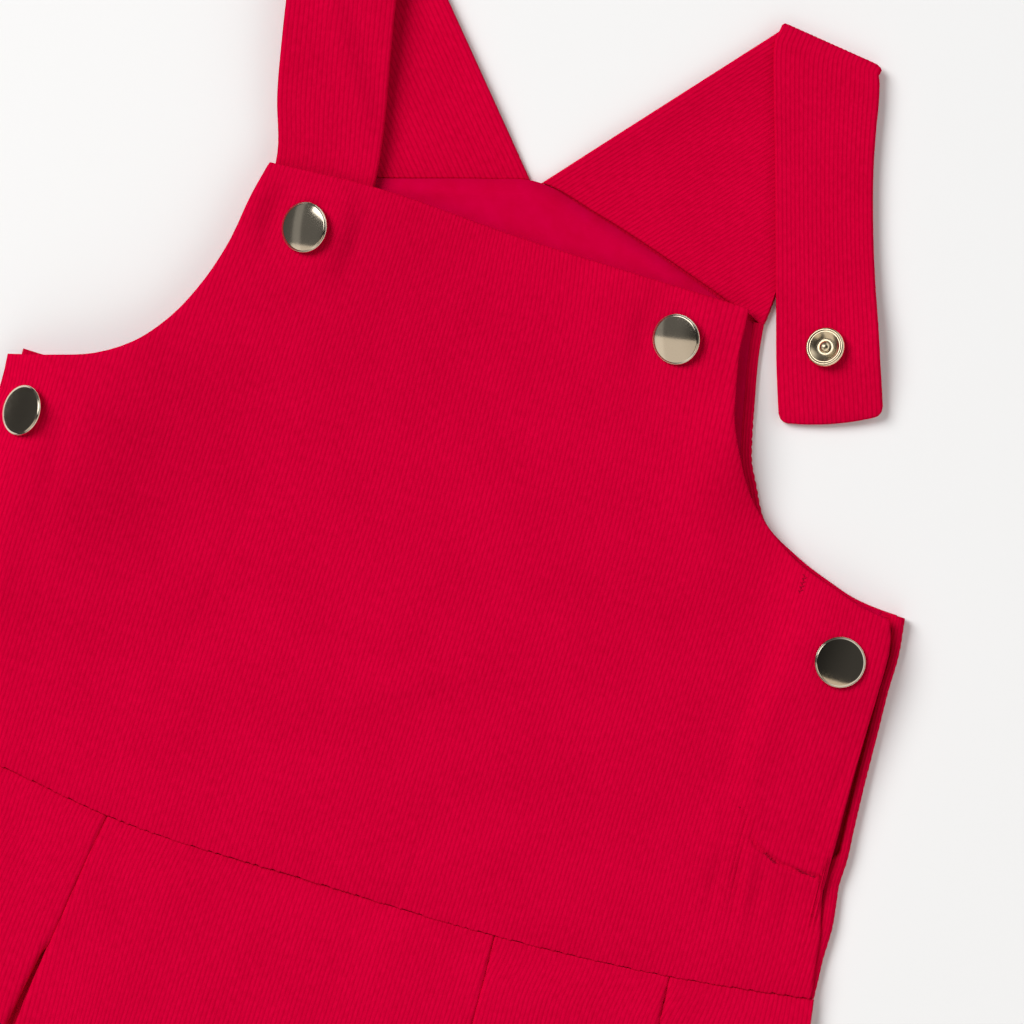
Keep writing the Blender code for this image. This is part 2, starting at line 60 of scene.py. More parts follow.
def bump2d(x, y, atX, atY, reachX, reachY):
    return np.exp(-(((x - atX) / reachX) ** 2) - ((y - atY) / reachY) ** 2)


def foldBump(x, y, atX, atY, turn, reachX, reachY):
    # the same, turned by so many degrees
    dx, dy = x - atX, y - atY
    c, s = math.cos(math.radians(turn)), math.sin(math.radians(turn))
    return np.exp(-(((dx * c - dy * s) / reachX) ** 2) - (((dx * s + dy * c) / reachY) ** 2))


def roundOver(gap, radius, least):
    # share of a wall's thickness that is left at a distance from its rounded edge
    return least + (1 - least) * np.sqrt(1 - (1 - np.clip(gap / radius, 0, 1)) ** 2)


def along(points, shares):
    # smooth line through a table's points, at shares of its length
    table = np.array(points, float)
    steps = np.linalg.norm(np.diff(table[:, :2], axis=0), axis=1)
    length = np.concatenate([[0], np.cumsum(steps)])
    tangent = np.gradient(table, length, axis=0)
    at = np.clip(np.atleast_1d(shares), 0, 1) * length[-1]
    i = np.clip(np.searchsorted(length, at, side="right") - 1, 0, len(table) - 2)
    span = (length[i + 1] - length[i])[:, None]
    t = (at - length[i])[:, None] / span
    return (
        (1 + 2 * t) * (1 - t) ** 2 * table[i]
        + t * (1 - t) ** 2 * span * tangent[i]
        + t * t * (3 - 2 * t) * table[i + 1]
        + t * t * (t - 1) * span * tangent[i + 1]
    )


def atHeight(line, y):
    points = np.array(line, float)
    return np.interp(y, points[:, 1], points[:, 0])


def atWidth(line, x):
    points = np.array(line, float)
    return np.interp(x, points[:, 0], points[:, 1])


def ribs(columns):
    # how far each mesh column stands out of the grooves
    return np.array([0, 0.95, 0.95])[np.mod(columns, ribColumns)] * ribHeight


def newObject(name, data):
    made = bpy.data.objects.new(name, data)
    bpy.context.scene.collection.objects.link(made)
    return made


def clothMesh(name, top, under, uv, keep=None):
    # A closed piece of cloth from two grids of points, rows by columns. keep says which
    # cells are cloth, and a rim joins the two sides along every free edge.
    rows, columns = top.shape[:2]
    if keep is None:
        keep = np.ones((rows - 1, columns - 1), bool)
    index = np.arange(rows * columns).reshape(rows, columns)
    a, b, c, d = index[:-1, :-1], index[:-1, 1:], index[1:, 1:], index[1:, :-1]
    upper = np.stack([a, b, c, d], -1)[keep]
    lower = upper[:, ::-1] + rows * columns
    padded = np.pad(keep, 1)
    here = padded[1:-1, 1:-1]
    rims = []
    for down, right, p, q in ((-1, 0, a, b), (1, 0, c, d), (0, -1, d, a), (0, 1, b, c)):
        beside = padded[1 + down : padded.shape[0] - 1 + down, 1 + right : padded.shape[1] - 1 + right]
        free = here & ~beside
        p, q = p[free], q[free]
        rims.append(np.stack([q, p, p + rows * columns, q + rows * columns], -1))
    faces = np.concatenate([upper, lower] + rims)
    places = np.concatenate([top.reshape(-1, 3), under.reshape(-1, 3)]) * mm
    used = np.unique(faces)
    fresh = np.full(len(places), -1)
    fresh[used] = np.arange(len(used))
    faces = fresh[faces]
    mesh = bpy.data.meshes.new(name)
    mesh.vertices.add(len(used))
    mesh.vertices.foreach_set("co", places[used].ravel())
    mesh.loops.add(faces.size)
    mesh.loops.foreach_set("vertex_index", faces.ravel())
    mesh.polygons.add(len(faces))
    mesh.polygons.foreach_set("loop_start", np.arange(0, faces.size, 4))
    mesh.polygons.foreach_set("use_smooth", np.ones(len(faces), bool))
    mesh.update(calc_edges=True)
    layer = mesh.uv_layers.new(name="cloth")
    flat = np.tile(uv.reshape(-1, 2), (2, 1))[used]
    layer.data.foreach_set("uv", flat[faces.ravel()].ravel())
    mesh.validate()
    return newObject(name, mesh)


def gridNormals(points):
    across = np.gradient(points, axis=1)
    up = np.gradient(points, axis=0)
    normal = np.cross(across, up)
    return normal / np.maximum(np.linalg.norm(normal, axis=2, keepdims=True), 1e-9)


def finishPiece(made, material, node):
    made.data.materials.append(material)
    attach(made, "root")
    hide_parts(node)
    print(f"{made.name}: {len(made.data.polygons)} faces")
    return made


def addNode(tree, kind, values=None, links=None, **settings):
    made = tree.nodes.new(kind)
    for key, value in settings.items():
        setattr(made, key, value)
    for key, value in (values or {}).items():
        made.inputs[key].default_value = value
    for key, source in (links or {}).items():
        tree.links.new(source, made.inputs[key])
    return made


def startMaterial(name, **inputs):
    made = bpy.data.materials.new(name)
    made.use_nodes = True
    shader = made.node_tree.nodes["Principled BSDF"]
    for key, value in inputs.items():
        shader.inputs[key.replace("_", " ")].default_value = value
    return made, made.node_tree, shader


def corduroyMaterial(name, bright, deep, groove):
    # Fine-wale cotton corduroy: no gloss at all and a faint red nap. The pile on the ribs takes the light
    # unevenly, and painted shade darkens the grooves between them: a grey colour is multiplied into the cloth
    # along every groove.
    made, tree, shader = startMaterial(
        name,
        Roughness=0.95,
        Specular_IOR_Level=0.0,
        Sheen_Weight=0.1,
        Sheen_Roughness=0.5,
        Sheen_Tint=srgb("#D0103C"),
    )
    uv = addNode(tree, "ShaderNodeUVMap", uv_map="cloth")
    split = addNode(tree, "ShaderNodeSeparateXYZ", links={0: uv.outputs[0]})
    turns = addNode(
        tree, "ShaderNodeMath", {1: 2 * math.pi / wale}, {0: split.outputs["X"]}, operation="MULTIPLY"
    )
    wave = addNode(tree, "ShaderNodeMath", links={0: turns.outputs[0]}, operation="COSINE")
    # painted shade: darkest along each groove, multiplied in up to 0.27 of the way towards the groove colour
    grooveShadeMask = addNode(
        tree,
        "ShaderNodeMapRange",
        {"From Min": 0.1, "From Max": 1.0, "To Max": 0.27},
        {"Value": wave.outputs[0]},
    )
    # Pile tufts, longer along the rib than across it. Real ones are a third of this size,
    # too fine to show. Broad uneven brushing lies over them.
    stretched = addNode(tree, "ShaderNodeMapping", {"Scale": (1.1, 0.42, 1.0)}, {"Vector": uv.outputs[0]})
    tufts = addNode(
        tree,
        "ShaderNodeTexNoise",
        {"Scale": 1.0, "Detail": 3.0, "Roughness": 0.6},
        {"Vector": stretched.outputs[0]},
    )
    broad = addNode(
        tree,
        "ShaderNodeTexNoise",
        {"Scale": 0.05, "Detail": 3.0, "Roughness": 0.55},
        {"Vector": uv.outputs[0]},
    )
    shared = addNode(tree, "ShaderNodeMath", {1: 0.7}, {0: tufts.outputs["Fac"]}, operation="MULTIPLY")
    shared = addNode(
        tree,
        "ShaderNodeMath",
        {1: 0.3},
        {0: broad.outputs["Fac"], 2: shared.outputs[0]},
        operation="MULTIPLY_ADD",
    )
    tone = addNode(
        tree, "ShaderNodeMapRange", {"From Min": 0.34, "From Max": 0.66}, {"Value": shared.outputs[0]}
    )
    pileColour = addNode(
        tree, "ShaderNodeMix", {6: srgb(deep), 7: srgb(bright)}, {0: tone.outputs[0]}, data_type="RGBA"
    )
    colour = addNode(
        tree,
        "ShaderNodeMix",
        {7: srgb(groove)},
        {0: grooveShadeMask.outputs[0], 6: pileColour.outputs[2]},
        data_type="RGBA",
        blend_type="MULTIPLY",
    )
    tree.links.new(colour.outputs[2], shader.inputs["Base Color"])
    pile = addNode(
        tree, "ShaderNodeBump", {"Strength": 0.3, "Distance": 0.0001}, {"Height": tufts.outputs["Fac"]}
    )
    tree.links.new(pile.outputs[0], shader.inputs["Normal"])
    return made


def liningMaterial(name, dark, light):
    # Plain-weave cotton: smooth and matte, threads a quarter of a millimetre apart.
    made, tree, shader = startMaterial(name, Roughness=0.85, Specular_IOR_Level=0.0)
    threadPair = 0.5
    uv = addNode(tree, "ShaderNodeUVMap", uv_map="cloth")
    split = addNode(tree, "ShaderNodeSeparateXYZ", links={0: uv.outputs[0]})
    waves = []
    for axis in ("X", "Y"):
        turns = addNode(
            tree,
            "ShaderNodeMath",
            {1: 2 * math.pi / threadPair},
            {0: split.outputs[axis]},
            operation="MULTIPLY",
        )
        waves.append(addNode(tree, "ShaderNodeMath", links={0: turns.outputs[0]}, operation="SINE"))
    weave = addNode(
        tree, "ShaderNodeMath", links={0: waves[0].outputs[0], 1: waves[1].outputs[0]}, operation="MULTIPLY"
    )
    broad = addNode(
        tree,
        "ShaderNodeTexNoise",
        {"Scale": 0.12, "Detail": 4.0, "Roughness": 0.6},
        {"Vector": uv.outputs[0]},
    )
    tone = addNode(
        tree, "ShaderNodeMapRange", {"From Min": 0.3, "From Max": 0.7}, {"Value": broad.outputs["Fac"]}
    )
    colour = addNode(
        tree, "ShaderNodeMix", {6: srgb(dark), 7: srgb(light)}, {0: tone.outputs[0]}, data_type="RGBA"
    )
    tree.links.new(colour.outputs[2], shader.inputs["Base Color"])
    threads = addNode(
        tree, "ShaderNodeBump", {"Strength": 0.35, "Distance": 0.00005}, {"Height": weave.outputs[0]}
    )
    tree.links.new(threads.outputs[0], shader.inputs["Normal"])
    return made


def goldMaterial(name, colour, smoothest, roughest):
    # Polished gold plating: near a mirror, with a faint haze of fine scuffs.
    made, tree, shader = startMaterial(name, Metallic=1.0, Base_Color=srgb(colour))
    place = addNode(tree, "ShaderNodeTexCoord")
    scuffs = addNode(
        tree, "ShaderNodeTexNoise", {"Scale": 900.0, "Detail": 4.0}, {"Vector": place.outputs["Object"]}
    )
    haze = addNode(
        tree,
        "ShaderNodeMapRange",
        {"To Min": smoothest, "To Max": roughest},
        {"Value": scuffs.outputs["Fac"]},
    )
    tree.links.new(haze.outputs[0], shader.inputs["Roughness"])
    return made


# the last colour is the painted shade multiplied into the grooves between the ribs
corduroy = corduroyMaterial("red corduroy", "#D90139", "#C60030", "#8C7C84")
lining = liningMaterial("red cotton lining", "#C60033", "#CF003F")
gold = goldMaterial("pale gold plating", "#E4D7C2", 0.06, 0.12)
# painted brightness: the open stud's plating is a lighter copy of the caps' gold, standing in for the light
# its dish reflects; its rougher haze is its own finish
paintedBrightGold = goldMaterial("gold plating painted brighter", "#F6E2C0", 0.18, 0.28)
# Polyester sewing thread, a little shinier and darker than the cloth.
thread = startMaterial(
    "red sewing thread", Base_Color=srgb("#A6002C"), Roughness=0.7, Specular_IOR_Level=0.1
)[0]
print("materials made")

# The front of the bodice: its outline, then how it lies.
front = {
    "waist": [
        (-144, -187), (-98, -190.5), (-65, -195.5), (0, -197), (54, -197), (105, -194), (147.6, -188.5),
    ],
    "top": [(-73, 0.3), (-40, 2), (0, 0.2), (40, -0.5), (73, -0.8)],
    "sideRight": [
        (147.6, -188.5), (145.8, -179), (144.9, -171), (142.9, -163), (141.6, -157), (141.5, -149),
        (141.3, -142), (140.7, -125), (140.6, -104), (140.7, -91), (139.7, -82), (137.8, -76.3),
    ],
    "sideLeft": [
        (-144, -187), (-138, -150), (-134, -112), (-132.6, -93), (-131.6, -87.5),
        (-129.9, -84.6), (-130.2, -80), (-131.0, -74.8),
    ],
    "armholeRight": [
        (137.8, -76.3), (128.6, -74.8), (118.6, -71.6), (110, -68.8), (102.8, -64.9), (95.1, -59.2),
        (89.7, -54.1), (83.4, -44.7), (77.6, -32.5), (75.6, -24), (73.4, -11.3), (72.9, -0.8),
    ],
    "armholeLeft": [
        (-131.0, -74.8), (-118, -71.5), (-105, -67), (-95, -60), (-88.5, -52),
        (-81.5, -38), (-77.5, -24.5), (-75.5, -11), (-73, 0.3),
    ],
    "edgeRound": 0.9,
    "rest": 2.9,  # height of its underside where nothing lifts it
    # what lifts it: centre, reach, height
    "swells": [
        (-57.6, -14.6, 40, 46, 5.9),  # left strap under the bib
        (54, -16, 24, 24, 1.9),  # right bib snap
        (79, -34, 14, 28, 6.2),  # right armhole edge standing off
        (127, -92, 24, 32, 3.2),  # right side snap
        (5, -95, 85, 70, 1.2),  # belly
    ],
    # the left side stands up and rounds over to its edge
    "sideSwell": {"height": 10.6, "atY": -88, "reachY": 58, "width": 21, "fall": 36, "edge": 3.2},
    # how the ribs stray from straight up, in degrees: centre, reach, lean
    "lean": 1.2,
    "leans": [
        (22, -6, 30, 18, -11.0),
        (62, -38, 20, 30, -7.0),
        (8, -60, 48, 22, -4.0),
        (-72, -28, 30, 26, 2.5),
        (128, -82, 16, 18, -5.0),
        (116, -103, 16, 16, 4.0),
        (118, -165, 28, 16, -4.5),
        (-130, -79, 9, 6, -7.0),
    ],
    # creases: centre, turn from the ribs in degrees, half width, half length, height
    "creases": [
        (116.6, -160, -9, 1.5, 12, -0.6),
        (120.0, -162, -8, 1.4, 11, 0.3),
        (110.5, -166, -4, 1.8, 12, -0.3),
        (124.0, -163, -8, 2.2, 8, -0.45),
        (133.0, -166, -6, 2.0, 10, -0.35),
        (136.5, -128, 10, 1.8, 16, -0.35),
        (-1.5, -146, 62, 4.0, 26, -0.5),
        (3.0, -139, 62, 5.0, 24, 0.35),
        (25.0, -186, 4, 1.8, 11, -0.32),
        (-54, -122, 8, 2.0, 40, -0.18),
        (-106, -110, -8, 3.0, 40, -0.3),
        (40, -178, 80, 3.2, 22, 0.25),
        (-60, -184, 84, 4.5, 34, 0.3),
    ],
    # where the ribs are pulled apart, so that the grooves between them are deeper
    "pulled": [(115.0, -157, -6, 2.8, 13, 4.6), (141.0, -172, -3, 4.0, 14, 2.6)],
    # the stitching that holds the right facing
    "stitching": [
        (109.2, -76), (109.4, -100), (109.2, -122), (111.0, -136), (114.2, -144.5),
        (118.9, -150.1), (127.7, -153.3), (134.6, -154), (141.5, -153.8),
    ],
}
# Snaps of the front: the level and slope of the cloth's underside there (none where it keeps
# its own), how far around it is pressed flat, how much further the cap leans and sits aside,
# the height of its dome, and the stud behind it with the thickness of its cloth.
frontSnaps = [
    {
        "name": "bib_snap_left", "at": (-57.6, -14.6), "level": 8.8, "slope": (0.25, 0.06),
        "press": (8.5, 16.5), "lean": (-0.24, -0.01), "shift": (0.6, -0.4), "dome": 0.5,
        "stud": ("strap_stud_left", walls["strap"]),
    },
    {
        "name": "bib_snap_right", "at": (55.5, -15.1), "level": 5.2, "slope": (0.21, 0.06),
        "press": (8.5, 16.5), "lean": (-0.22, -0.11), "shift": (0.1, -0.2), "dome": 0.5,
        "stud": None,
    },
    {
        "name": "side_snap_left", "at": (-120.6, -89.6), "level": None, "slope": None,
        "press": (5.0, 8.5), "lean": (-0.28, -0.07), "shift": (0.8, 0.2), "dome": 0.12,
        "stud": ("side_stud_left", walls["strip"]),
    },
    {
        "name": "side_snap_right", "at": (127.2, -92.0), "level": 7.8, "slope": (0, 0),
        "press": (8.5, 16.5), "lean": (-0.01, 0.05), "shift": (0.0, 0.0), "dome": 0.5,
        "stud": ("side_stud_right", walls["strip"]),
    },
]


def looseFront(x, y):
    # height of the front's underside before its snaps press it
    rise = np.full(np.broadcast(x, y).shape, front["rest"])
    for *place, lift in front["swells"]:
        rise = rise + lift * bump2d(x, y, *place)
    # it stands off over the strip under the right opening
    rise = rise + 1.6 * smooth(x, 100, 114) * smooth(y, -165, -151)
    swell = front["sideSwell"]
    inward = x - atHeight(front["sideLeft"], y)
    peak = swell["height"] * np.exp(-(((y - swell["atY"]) / swell["reachY"]) ** 2))
    inner = rise + peak * np.exp(-(((inward - swell["width"]) / swell["fall"]) ** 2))
    turn = math.pi / 2 * np.clip(inward, 0, swell["width"]) / swell["width"]
    outer = swell["edge"] + (rise + peak - swell["edge"]) * np.sin(turn)
    return np.where(inward >= swell["width"], inner, outer)


def frontSlope(x, y):
    step = 2.0
    return (
        (looseFront(x + step, y) - looseFront(x - step, y)) / (2 * step),
        (looseFront(x, y + step) - looseFront(x, y - step)) / (2 * step),
    )


def frontUnder(x, y):
    rise = looseFront(x, y)
    for snap in frontSnaps:
        atX, atY = snap["at"]
        near = 1 - smooth(np.hypot(x - atX, y - atY), *snap["press"])
        level = looseFront(atX, atY) if snap["level"] is None else snap["level"]
        dx, dy = snap["slope"] or frontSlope(atX, atY)
        flat = level + dx * (x - atX) + dy * (y - atY)
        rise = rise + near * (flat - rise)
    return rise


def lineGap(x, y, points):
    # distance of every place from a line through points
    best = np.full(np.broadcast(x, y).shape, 1e3)
    for (ax, ay), (bx, by) in zip(points, points[1:]):
        dx, dy = bx - ax, by - ay
        share = np.clip(((x - ax) * dx + (y - ay) * dy) / (dx * dx + dy * dy), 0, 1)
        best = np.minimum(best, np.hypot(x - ax - share * dx, y - ay - share * dy))
    return best


def frontForm(x, y):
    # soft folds and press marks on top of the panel's general lie
    rise = np.zeros(np.broadcast(x, y).shape)
    stitched = 0.25 + 0.75 * smooth(-y, 138, 150)
    rise = rise - 0.95 * np.exp(-((lineGap(x, y, front["stitching"]) / 0.65) ** 2)) * stitched
    for *fold, amount in front["creases"]:
        rise = rise + amount * foldBump(x, y, *fold)
    # trough and ridge along the inner edge of the right facing
    inner = 108.5 + 6 * smooth(-y, 121, 150) + 1.2 * np.sin(y / 17)
    inTrough = smooth(-y, 74, 90) * (1 - smooth(-y, 158, 176))
    rise = rise - 0.55 * inTrough * np.exp(-(((x - inner + 3.0) / 3.2) ** 2))
    rise = rise + 0.25 * inTrough * np.exp(-(((x - inner - 4.0) / 4.0) ** 2))
    # the same facing on the left, fainter
    inTrough = 0.25 * smooth(-y, 74, 88) * (1 - smooth(-y, 140, 175))
    rise = rise - inTrough * np.exp(-(((x + 108.5) / 3.0) ** 2))
    # cloth pressed over the seam allowance above the waist
    up = y - atWidth(front["waist"], x)
    rise = rise + (0.28 + 0.35 * (1 - smooth(x, -75, -25))) * np.exp(-(((up - 6) / 5.0) ** 2))
    # a faint step where the top facing ends
    rise = rise + 0.14 * smooth(y, -13.5, -10.5)
    return rise


def frontLean(x, y):
    lean = np.full(np.broadcast(x, y).shape, front["lean"])
    for *place, amount in front["leans"]:
        lean = lean + amount * bump2d(x, y, *place)
    return np.tan(np.radians(lean))


def sideCurve(side, armhole):
    lower = along(side, np.linspace(0, 1, 60))
    upper = along(armhole, np.linspace(0, 1, 90))[1:]
    both = np.vstack([lower, upper])
    rising = np.concatenate([[True], np.diff(np.maximum.accumulate(both[:, 1])) > 1e-6])
    return both[rising]


def traceRibs(marks, levels, step):
    # x of every column at every level: spaced along the cloth, not along the table below
    fine = np.arange(-160, 160.1, 0.5)
    shift = np.zeros(len(marks))
    table = np.zeros((len(levels), len(marks)))
    for k, y in enumerate(levels):
        rise = looseFront(fine, y)
        run = np.concatenate([[0], np.cumsum(np.hypot(np.diff(fine), np.diff(rise)))])
        run = run - np.interp(0, fine, run)
        table[k] = np.interp(marks + shift, run, fine)
        shift = shift + step * frontLean(table[k], y)
    return table


def ribEnds(table, levels, step, left, right, waist, top):
    # which columns cross the panel, and where each starts at the waist and ends above
    fewest = 8  # levels: a shorter stretch of rib is left out
    starts = atWidth(waist, table)
    inside = levels[:, None] >= starts
    inside &= table >= atHeight(left, levels)[:, None]
    inside &= table <= atHeight(right, levels)[:, None]
    inside &= levels[:, None] <= atWidth(top, table)

    def inset(k, j):
        x, y = table[k, j], levels[k]
        return min(x - atHeight(left, y), atHeight(right, y) - x, atWidth(top, x) - y)

    columns, low, high = [], [], []
    for j in range(table.shape[1]):
        hit = np.flatnonzero(inside[:, j])
        if len(hit) < fewest:
            continue
        breaks = np.flatnonzero(np.diff(hit) > 1)
        last = hit[breaks[0]] if len(breaks) else hit[-1]
        if last - hit[0] < fewest:
            continue
        a, b = inset(last, j), inset(min(last + 1, len(levels) - 1), j)
        share = a / (a - b) if a > b else 0.0
        columns.append(j)
        low.append(starts[hit[0], j])
        high.append(levels[last] + step * np.clip(share, 0, 1))
    return np.array(columns), np.array(low), np.array(high)


def makeFront():
    left = sideCurve(front["sideLeft"], front["armholeLeft"])
    right = sideCurve(front["sideRight"], front["armholeRight"])
    waist, top = along(front["waist"], np.linspace(0, 1, 120)), along(front["top"], np.linspace(0, 1, 80))
    marks = np.arange(-160 * ribColumns, 160 * ribColumns + 1) * (wale / ribColumns)
    step = 0.25
    levels = np.arange(-199, 4.01, step)
    table = traceRibs(marks, levels, step)
    columns, low, high = ribEnds(table, levels, step, left, right, waist, top)
    # the ribs end a little unevenly in the waist seam
    low = low + 0.2 * rng.uniform(-1, 1, 4096)[columns // ribColumns % 4096]
    span = high - low
    # close rows at the ends, and where the facing's stitching runs across the ribs
    ends = np.array([0.0, 0.15, 0.45, 0.95])
    squeeze = np.clip(span / 8, 0, 1)
    interior = [np.linspace(0, 0.28, 10)[1:], np.linspace(0.295, 0.365, 19), np.linspace(0.39, 1, 22)[:-1]]
    rows = [low + e * squeeze for e in ends]
    rows += [low + ends[-1] * squeeze + (span - 2 * ends[-1] * squeeze) * f for f in np.concatenate(interior)]
    rows += [high - e * squeeze for e in ends[::-1]]
    y = np.array(rows)
    x = np.zeros_like(y)
    for c, j in enumerate(columns):
        x[:, c] = np.interp(y[:, c], levels, table[:, j])
    # distance to the outline, for the rounded turned edge
    least = 1e-3
    beside = np.minimum(np.maximum(atHeight(right, y) - x, least), np.maximum(x - atHeight(left, y), least))
    gap = 1 / np.sqrt(1 / beside**2 + 1 / np.maximum(high - y, least) ** 2)
    # at the waist seam the cloth only dips a little
    thick = roundOver(gap, front["edgeRound"], 0.22) * roundOver(np.maximum(y - low, 0), 1.3, 0.76)
    relief = ribs(columns)[None, :] * (0.75 + 0.25 * np.clip(gap / front["edgeRound"], 0, 1))
    deep = 1 + sum(amount * foldBump(x, y, *fold) for *fold, amount in front["pulled"])
    under = frontUnder(x, y)
    wall = walls["front"]
    topZ = under + frontForm(x, y) + wall * (0.5 + 0.5 * thick) + (relief - ribHeight) * deep
    underZ = under + wall * (0.5 - 0.5 * thick)
    uv = np.stack([np.broadcast_to(marks[columns], x.shape), y], -1)
    # the snaps' shanks pass through the cloth
    shankHole = 2.6
    midX = (x[:-1, :-1] + x[1:, 1:]) / 2
    midY = (y[:-1, :-1] + y[1:, 1:]) / 2
    keep = np.ones(midX.shape, bool)
    for snap in frontSnaps:
        keep &= np.hypot(midX - snap["at"][0], midY - snap["at"][1]) > shankHole
    made = clothMesh("frontBodice", np.stack([x, y, topZ], -1), np.stack([x, y, underZ], -1), uv, keep)
    finishPiece(made, corduroy, "front_bodice")


makeFront()

# Bar tacks of the right facing: the first stitch, the step to the next, how far every second
# one stands aside, the turns that they take in turn, their length and their number.
barTacks = [
    {"first": (122.0, -151.6), "step": (0.45, -0.22), "aside": 0, "turns": (20, 70), "long": 1.5, "count": 9},
    {"first": (132.6, -153.2), "step": (0.6, -0.12), "aside": 0, "turns": (25, 75), "long": 1.4, "count": 10},
    {"first": (110.2, -70.8), "step": (0, -0.62), "aside": 0.5, "turns": (-35, 35), "long": 1.3, "count": 9},
    {"first": (111.3, -140.8), "step": (0, 0), "aside": 0, "turns": (0, 0), "long": 0.7, "count": 1},
]


def makeStitches():
    # red thread lying on the ribs, each stitch a short arched strand
    rings, sides = 7, 6
    radius, arch = 0.17, 0.08
    places, faces = [], []
    for tack in barTacks:
        for k in range(tack["count"]):
            x = tack["first"][0] + tack["step"][0] * k + tack["aside"] * (k % 2)
            y = tack["first"][1] + tack["step"][1] * k
            turn = math.radians(tack["turns"][k % 2])
            c, s = math.cos(turn), math.sin(turn)
            z = float(frontUnder(x, y) + frontForm(x, y)) + walls["front"] - 0.02
            first = len(places)
            for i in range(rings):
                share = i / (rings - 1)
                far = (share - 0.5) * tack["long"]
                bulge = 1 - (2 * share - 1) ** 2
                thick = radius * math.sqrt(max(bulge, 0.05))
                for j in range(sides):
                    a = 2 * math.pi / sides * j
                    side, up = thick * math.cos(a), thick * math.sin(a)
                    places.append((x + far * c - side * s, y + far * s + side * c, z + up + arch * bulge))
            for i in range(rings - 1):
                for j in range(sides):
                    a, b = first + i * sides + j, first + i * sides + (j + 1) % sides
                    faces.append((a, a + sides, b + sides, b))
            faces.append(tuple(first + j for j in range(sides)))
            faces.append(tuple(first + rings * sides - 1 - j for j in range(sides)))
    mesh = bpy.data.meshes.new("facingStitches")
    mesh.from_pydata([(x * mm, y * mm, z * mm) for x, y, z in places], [], faces)
    mesh.shade_smooth()
    finishPiece(newObject("facingStitches", mesh), thread, "front_bodice")


makeStitches()

# The front skirt: one cloth laid in four knife pleats.
skirt = {
    "centre": -5.4,
    "drop": 191.0,
    "hemLeft": -184.0,
    "hemWide": 366.0,
    "pressed": 0.8,  # the wall where it is pressed along the waist seam
    "hidden": [(66, 112), (204, 222)],  # stretches of the cloth that are turned under
    "spread": 232.0,  # past this much cloth from the centre it spreads to the hem's corners
    "leftFrom": 111.2,  # past this the left side is drawn in at the waist
    "leftDraw": 0.34,
}


def foldPlaces(t, left):
    # distance from the centre of both folds of each pleat, outer and inner, and of the side
    # edge; t runs from the waist, 0, to the hem, 1
    if left:
        outer = 58.9 + 18.1 * (1 - (1 - t) ** 1.5)
        inner = 28.8 + 16.5 * math.tanh(2.45 * t)
    else:
        outer = 58.8 + 18.2 * (0.38 * t + 0.62 * t**3)
        inner = 28.8 + 10 * t + 5.8 * t * t
    spread = 0.4 * t + 0.6 * t**3
    return outer, inner, 111.2 + 26.8 * spread, 81.2 + 24.4 * spread, 153.8 + 33.2 * t


def turnUnder(x, high, low, way):
    middle, radius = (high + low) / 2, (high - low) / 2
    turns = np.radians([75, 45, 15, -15, -45, -75])
    return [(x - way * 0.5 + way * 0.5 * math.cos(a), middle + radius * math.sin(a)) for a in turns]


def pleatPath(outer, inner, rise, last):
    # under at the outer fold, back to the inner one, out again and up to the surface
    path = turnUnder(outer, 2, 1, 1) + [(outer - 4, 1.0), (inner + 4, 1.0)]
    path += turnUnder(inner, 1, 0, -1) + [(inner + 4, 0.0), (rise - 0.4, 0.0)]
    return path + [(rise - 0.1, 0.12), (rise, 0.5), (rise + 0.05, 1.3), (rise + 0.25, last)]


def skirtHalf(t, left):
    # the path of one half from the centre out, as x and level: 2 on top, 1 and 0 below
    outer, inner, farOuter, farInner, side = foldPlaces(t, left)
    # the left fold stands open from 40 mm below the waist
    slit = 0.9 * smooth(t, 0.208, 0.228) + np.clip((t - 0.22) / 0.12, 0, 1) if left else 0.0
    rise = outer + 0.5 + slit + 0.5 * min(slit, 1)
    bow = 0.38
    path = [(0.0, 2 - bow), (inner - 12, 2 - bow), (inner - 2, 2 - 0.25 * bow), (inner + 4, 2.0)]
    path += [(outer - 4, 2.0)] + pleatPath(outer, inner, rise, 1.78)
    path += [(rise + 0.8, 1.95), (rise + 2, 2.0), (rise + 7, 2.0)]
    path += [(farInner - 2, 1.95), (farInner + 3, 2.0), (farOuter - 4, 2.0)]
    rise = farOuter + 0.35
    path += pleatPath(farOuter, farInner, rise, 1.76)
    path += [(rise + 0.8, 1.9), (rise + 4, 1.95), (side, 1.5)]
    out = np.array(path, float)
    if left:
        out[:, 0] -= np.maximum(out[:, 0] - skirt["leftFrom"], 0) * skirt["leftDraw"] * (1 - t)
        out[:, 0] = np.minimum(out[:, 0], skirt["centre"] - skirt["hemLeft"])
    return out


def skirtPath(t):
    # x, height and cloth coordinate along the whole path, from the left edge to the right
    pressed = 1 - smooth(t * skirt["drop"], 1, 16)
    low = 2.15 - 0.25 * pressed
    step = 1.6 - 0.55 * pressed
    parts = []
    for left in (True, False):
        half = skirtHalf(t, left)
        x, z = half[:, 0], low + step * half[:, 1]
        parts.append((x, z, np.concatenate([[0], np.cumsum(np.hypot(np.diff(x), np.diff(z)))])))
    (leftX, leftZ, leftRun), (rightX, rightZ, rightRun) = parts
    return (
        skirt["centre"] + np.concatenate([-leftX[:0:-1], rightX]),
        np.concatenate([leftZ[:0:-1], rightZ]),
        np.concatenate([-leftRun[:0:-1], rightRun]),
    )


def skirtLean(x, y):
    lean = 1.4 + 8.0 * bump2d(x, y, -45, -198, 34, 11) - 4.0 * bump2d(x, y, -62, -242, 16, 24)
    return np.tan(np.radians(lean)) * (1 - smooth(-y, 265, 330))


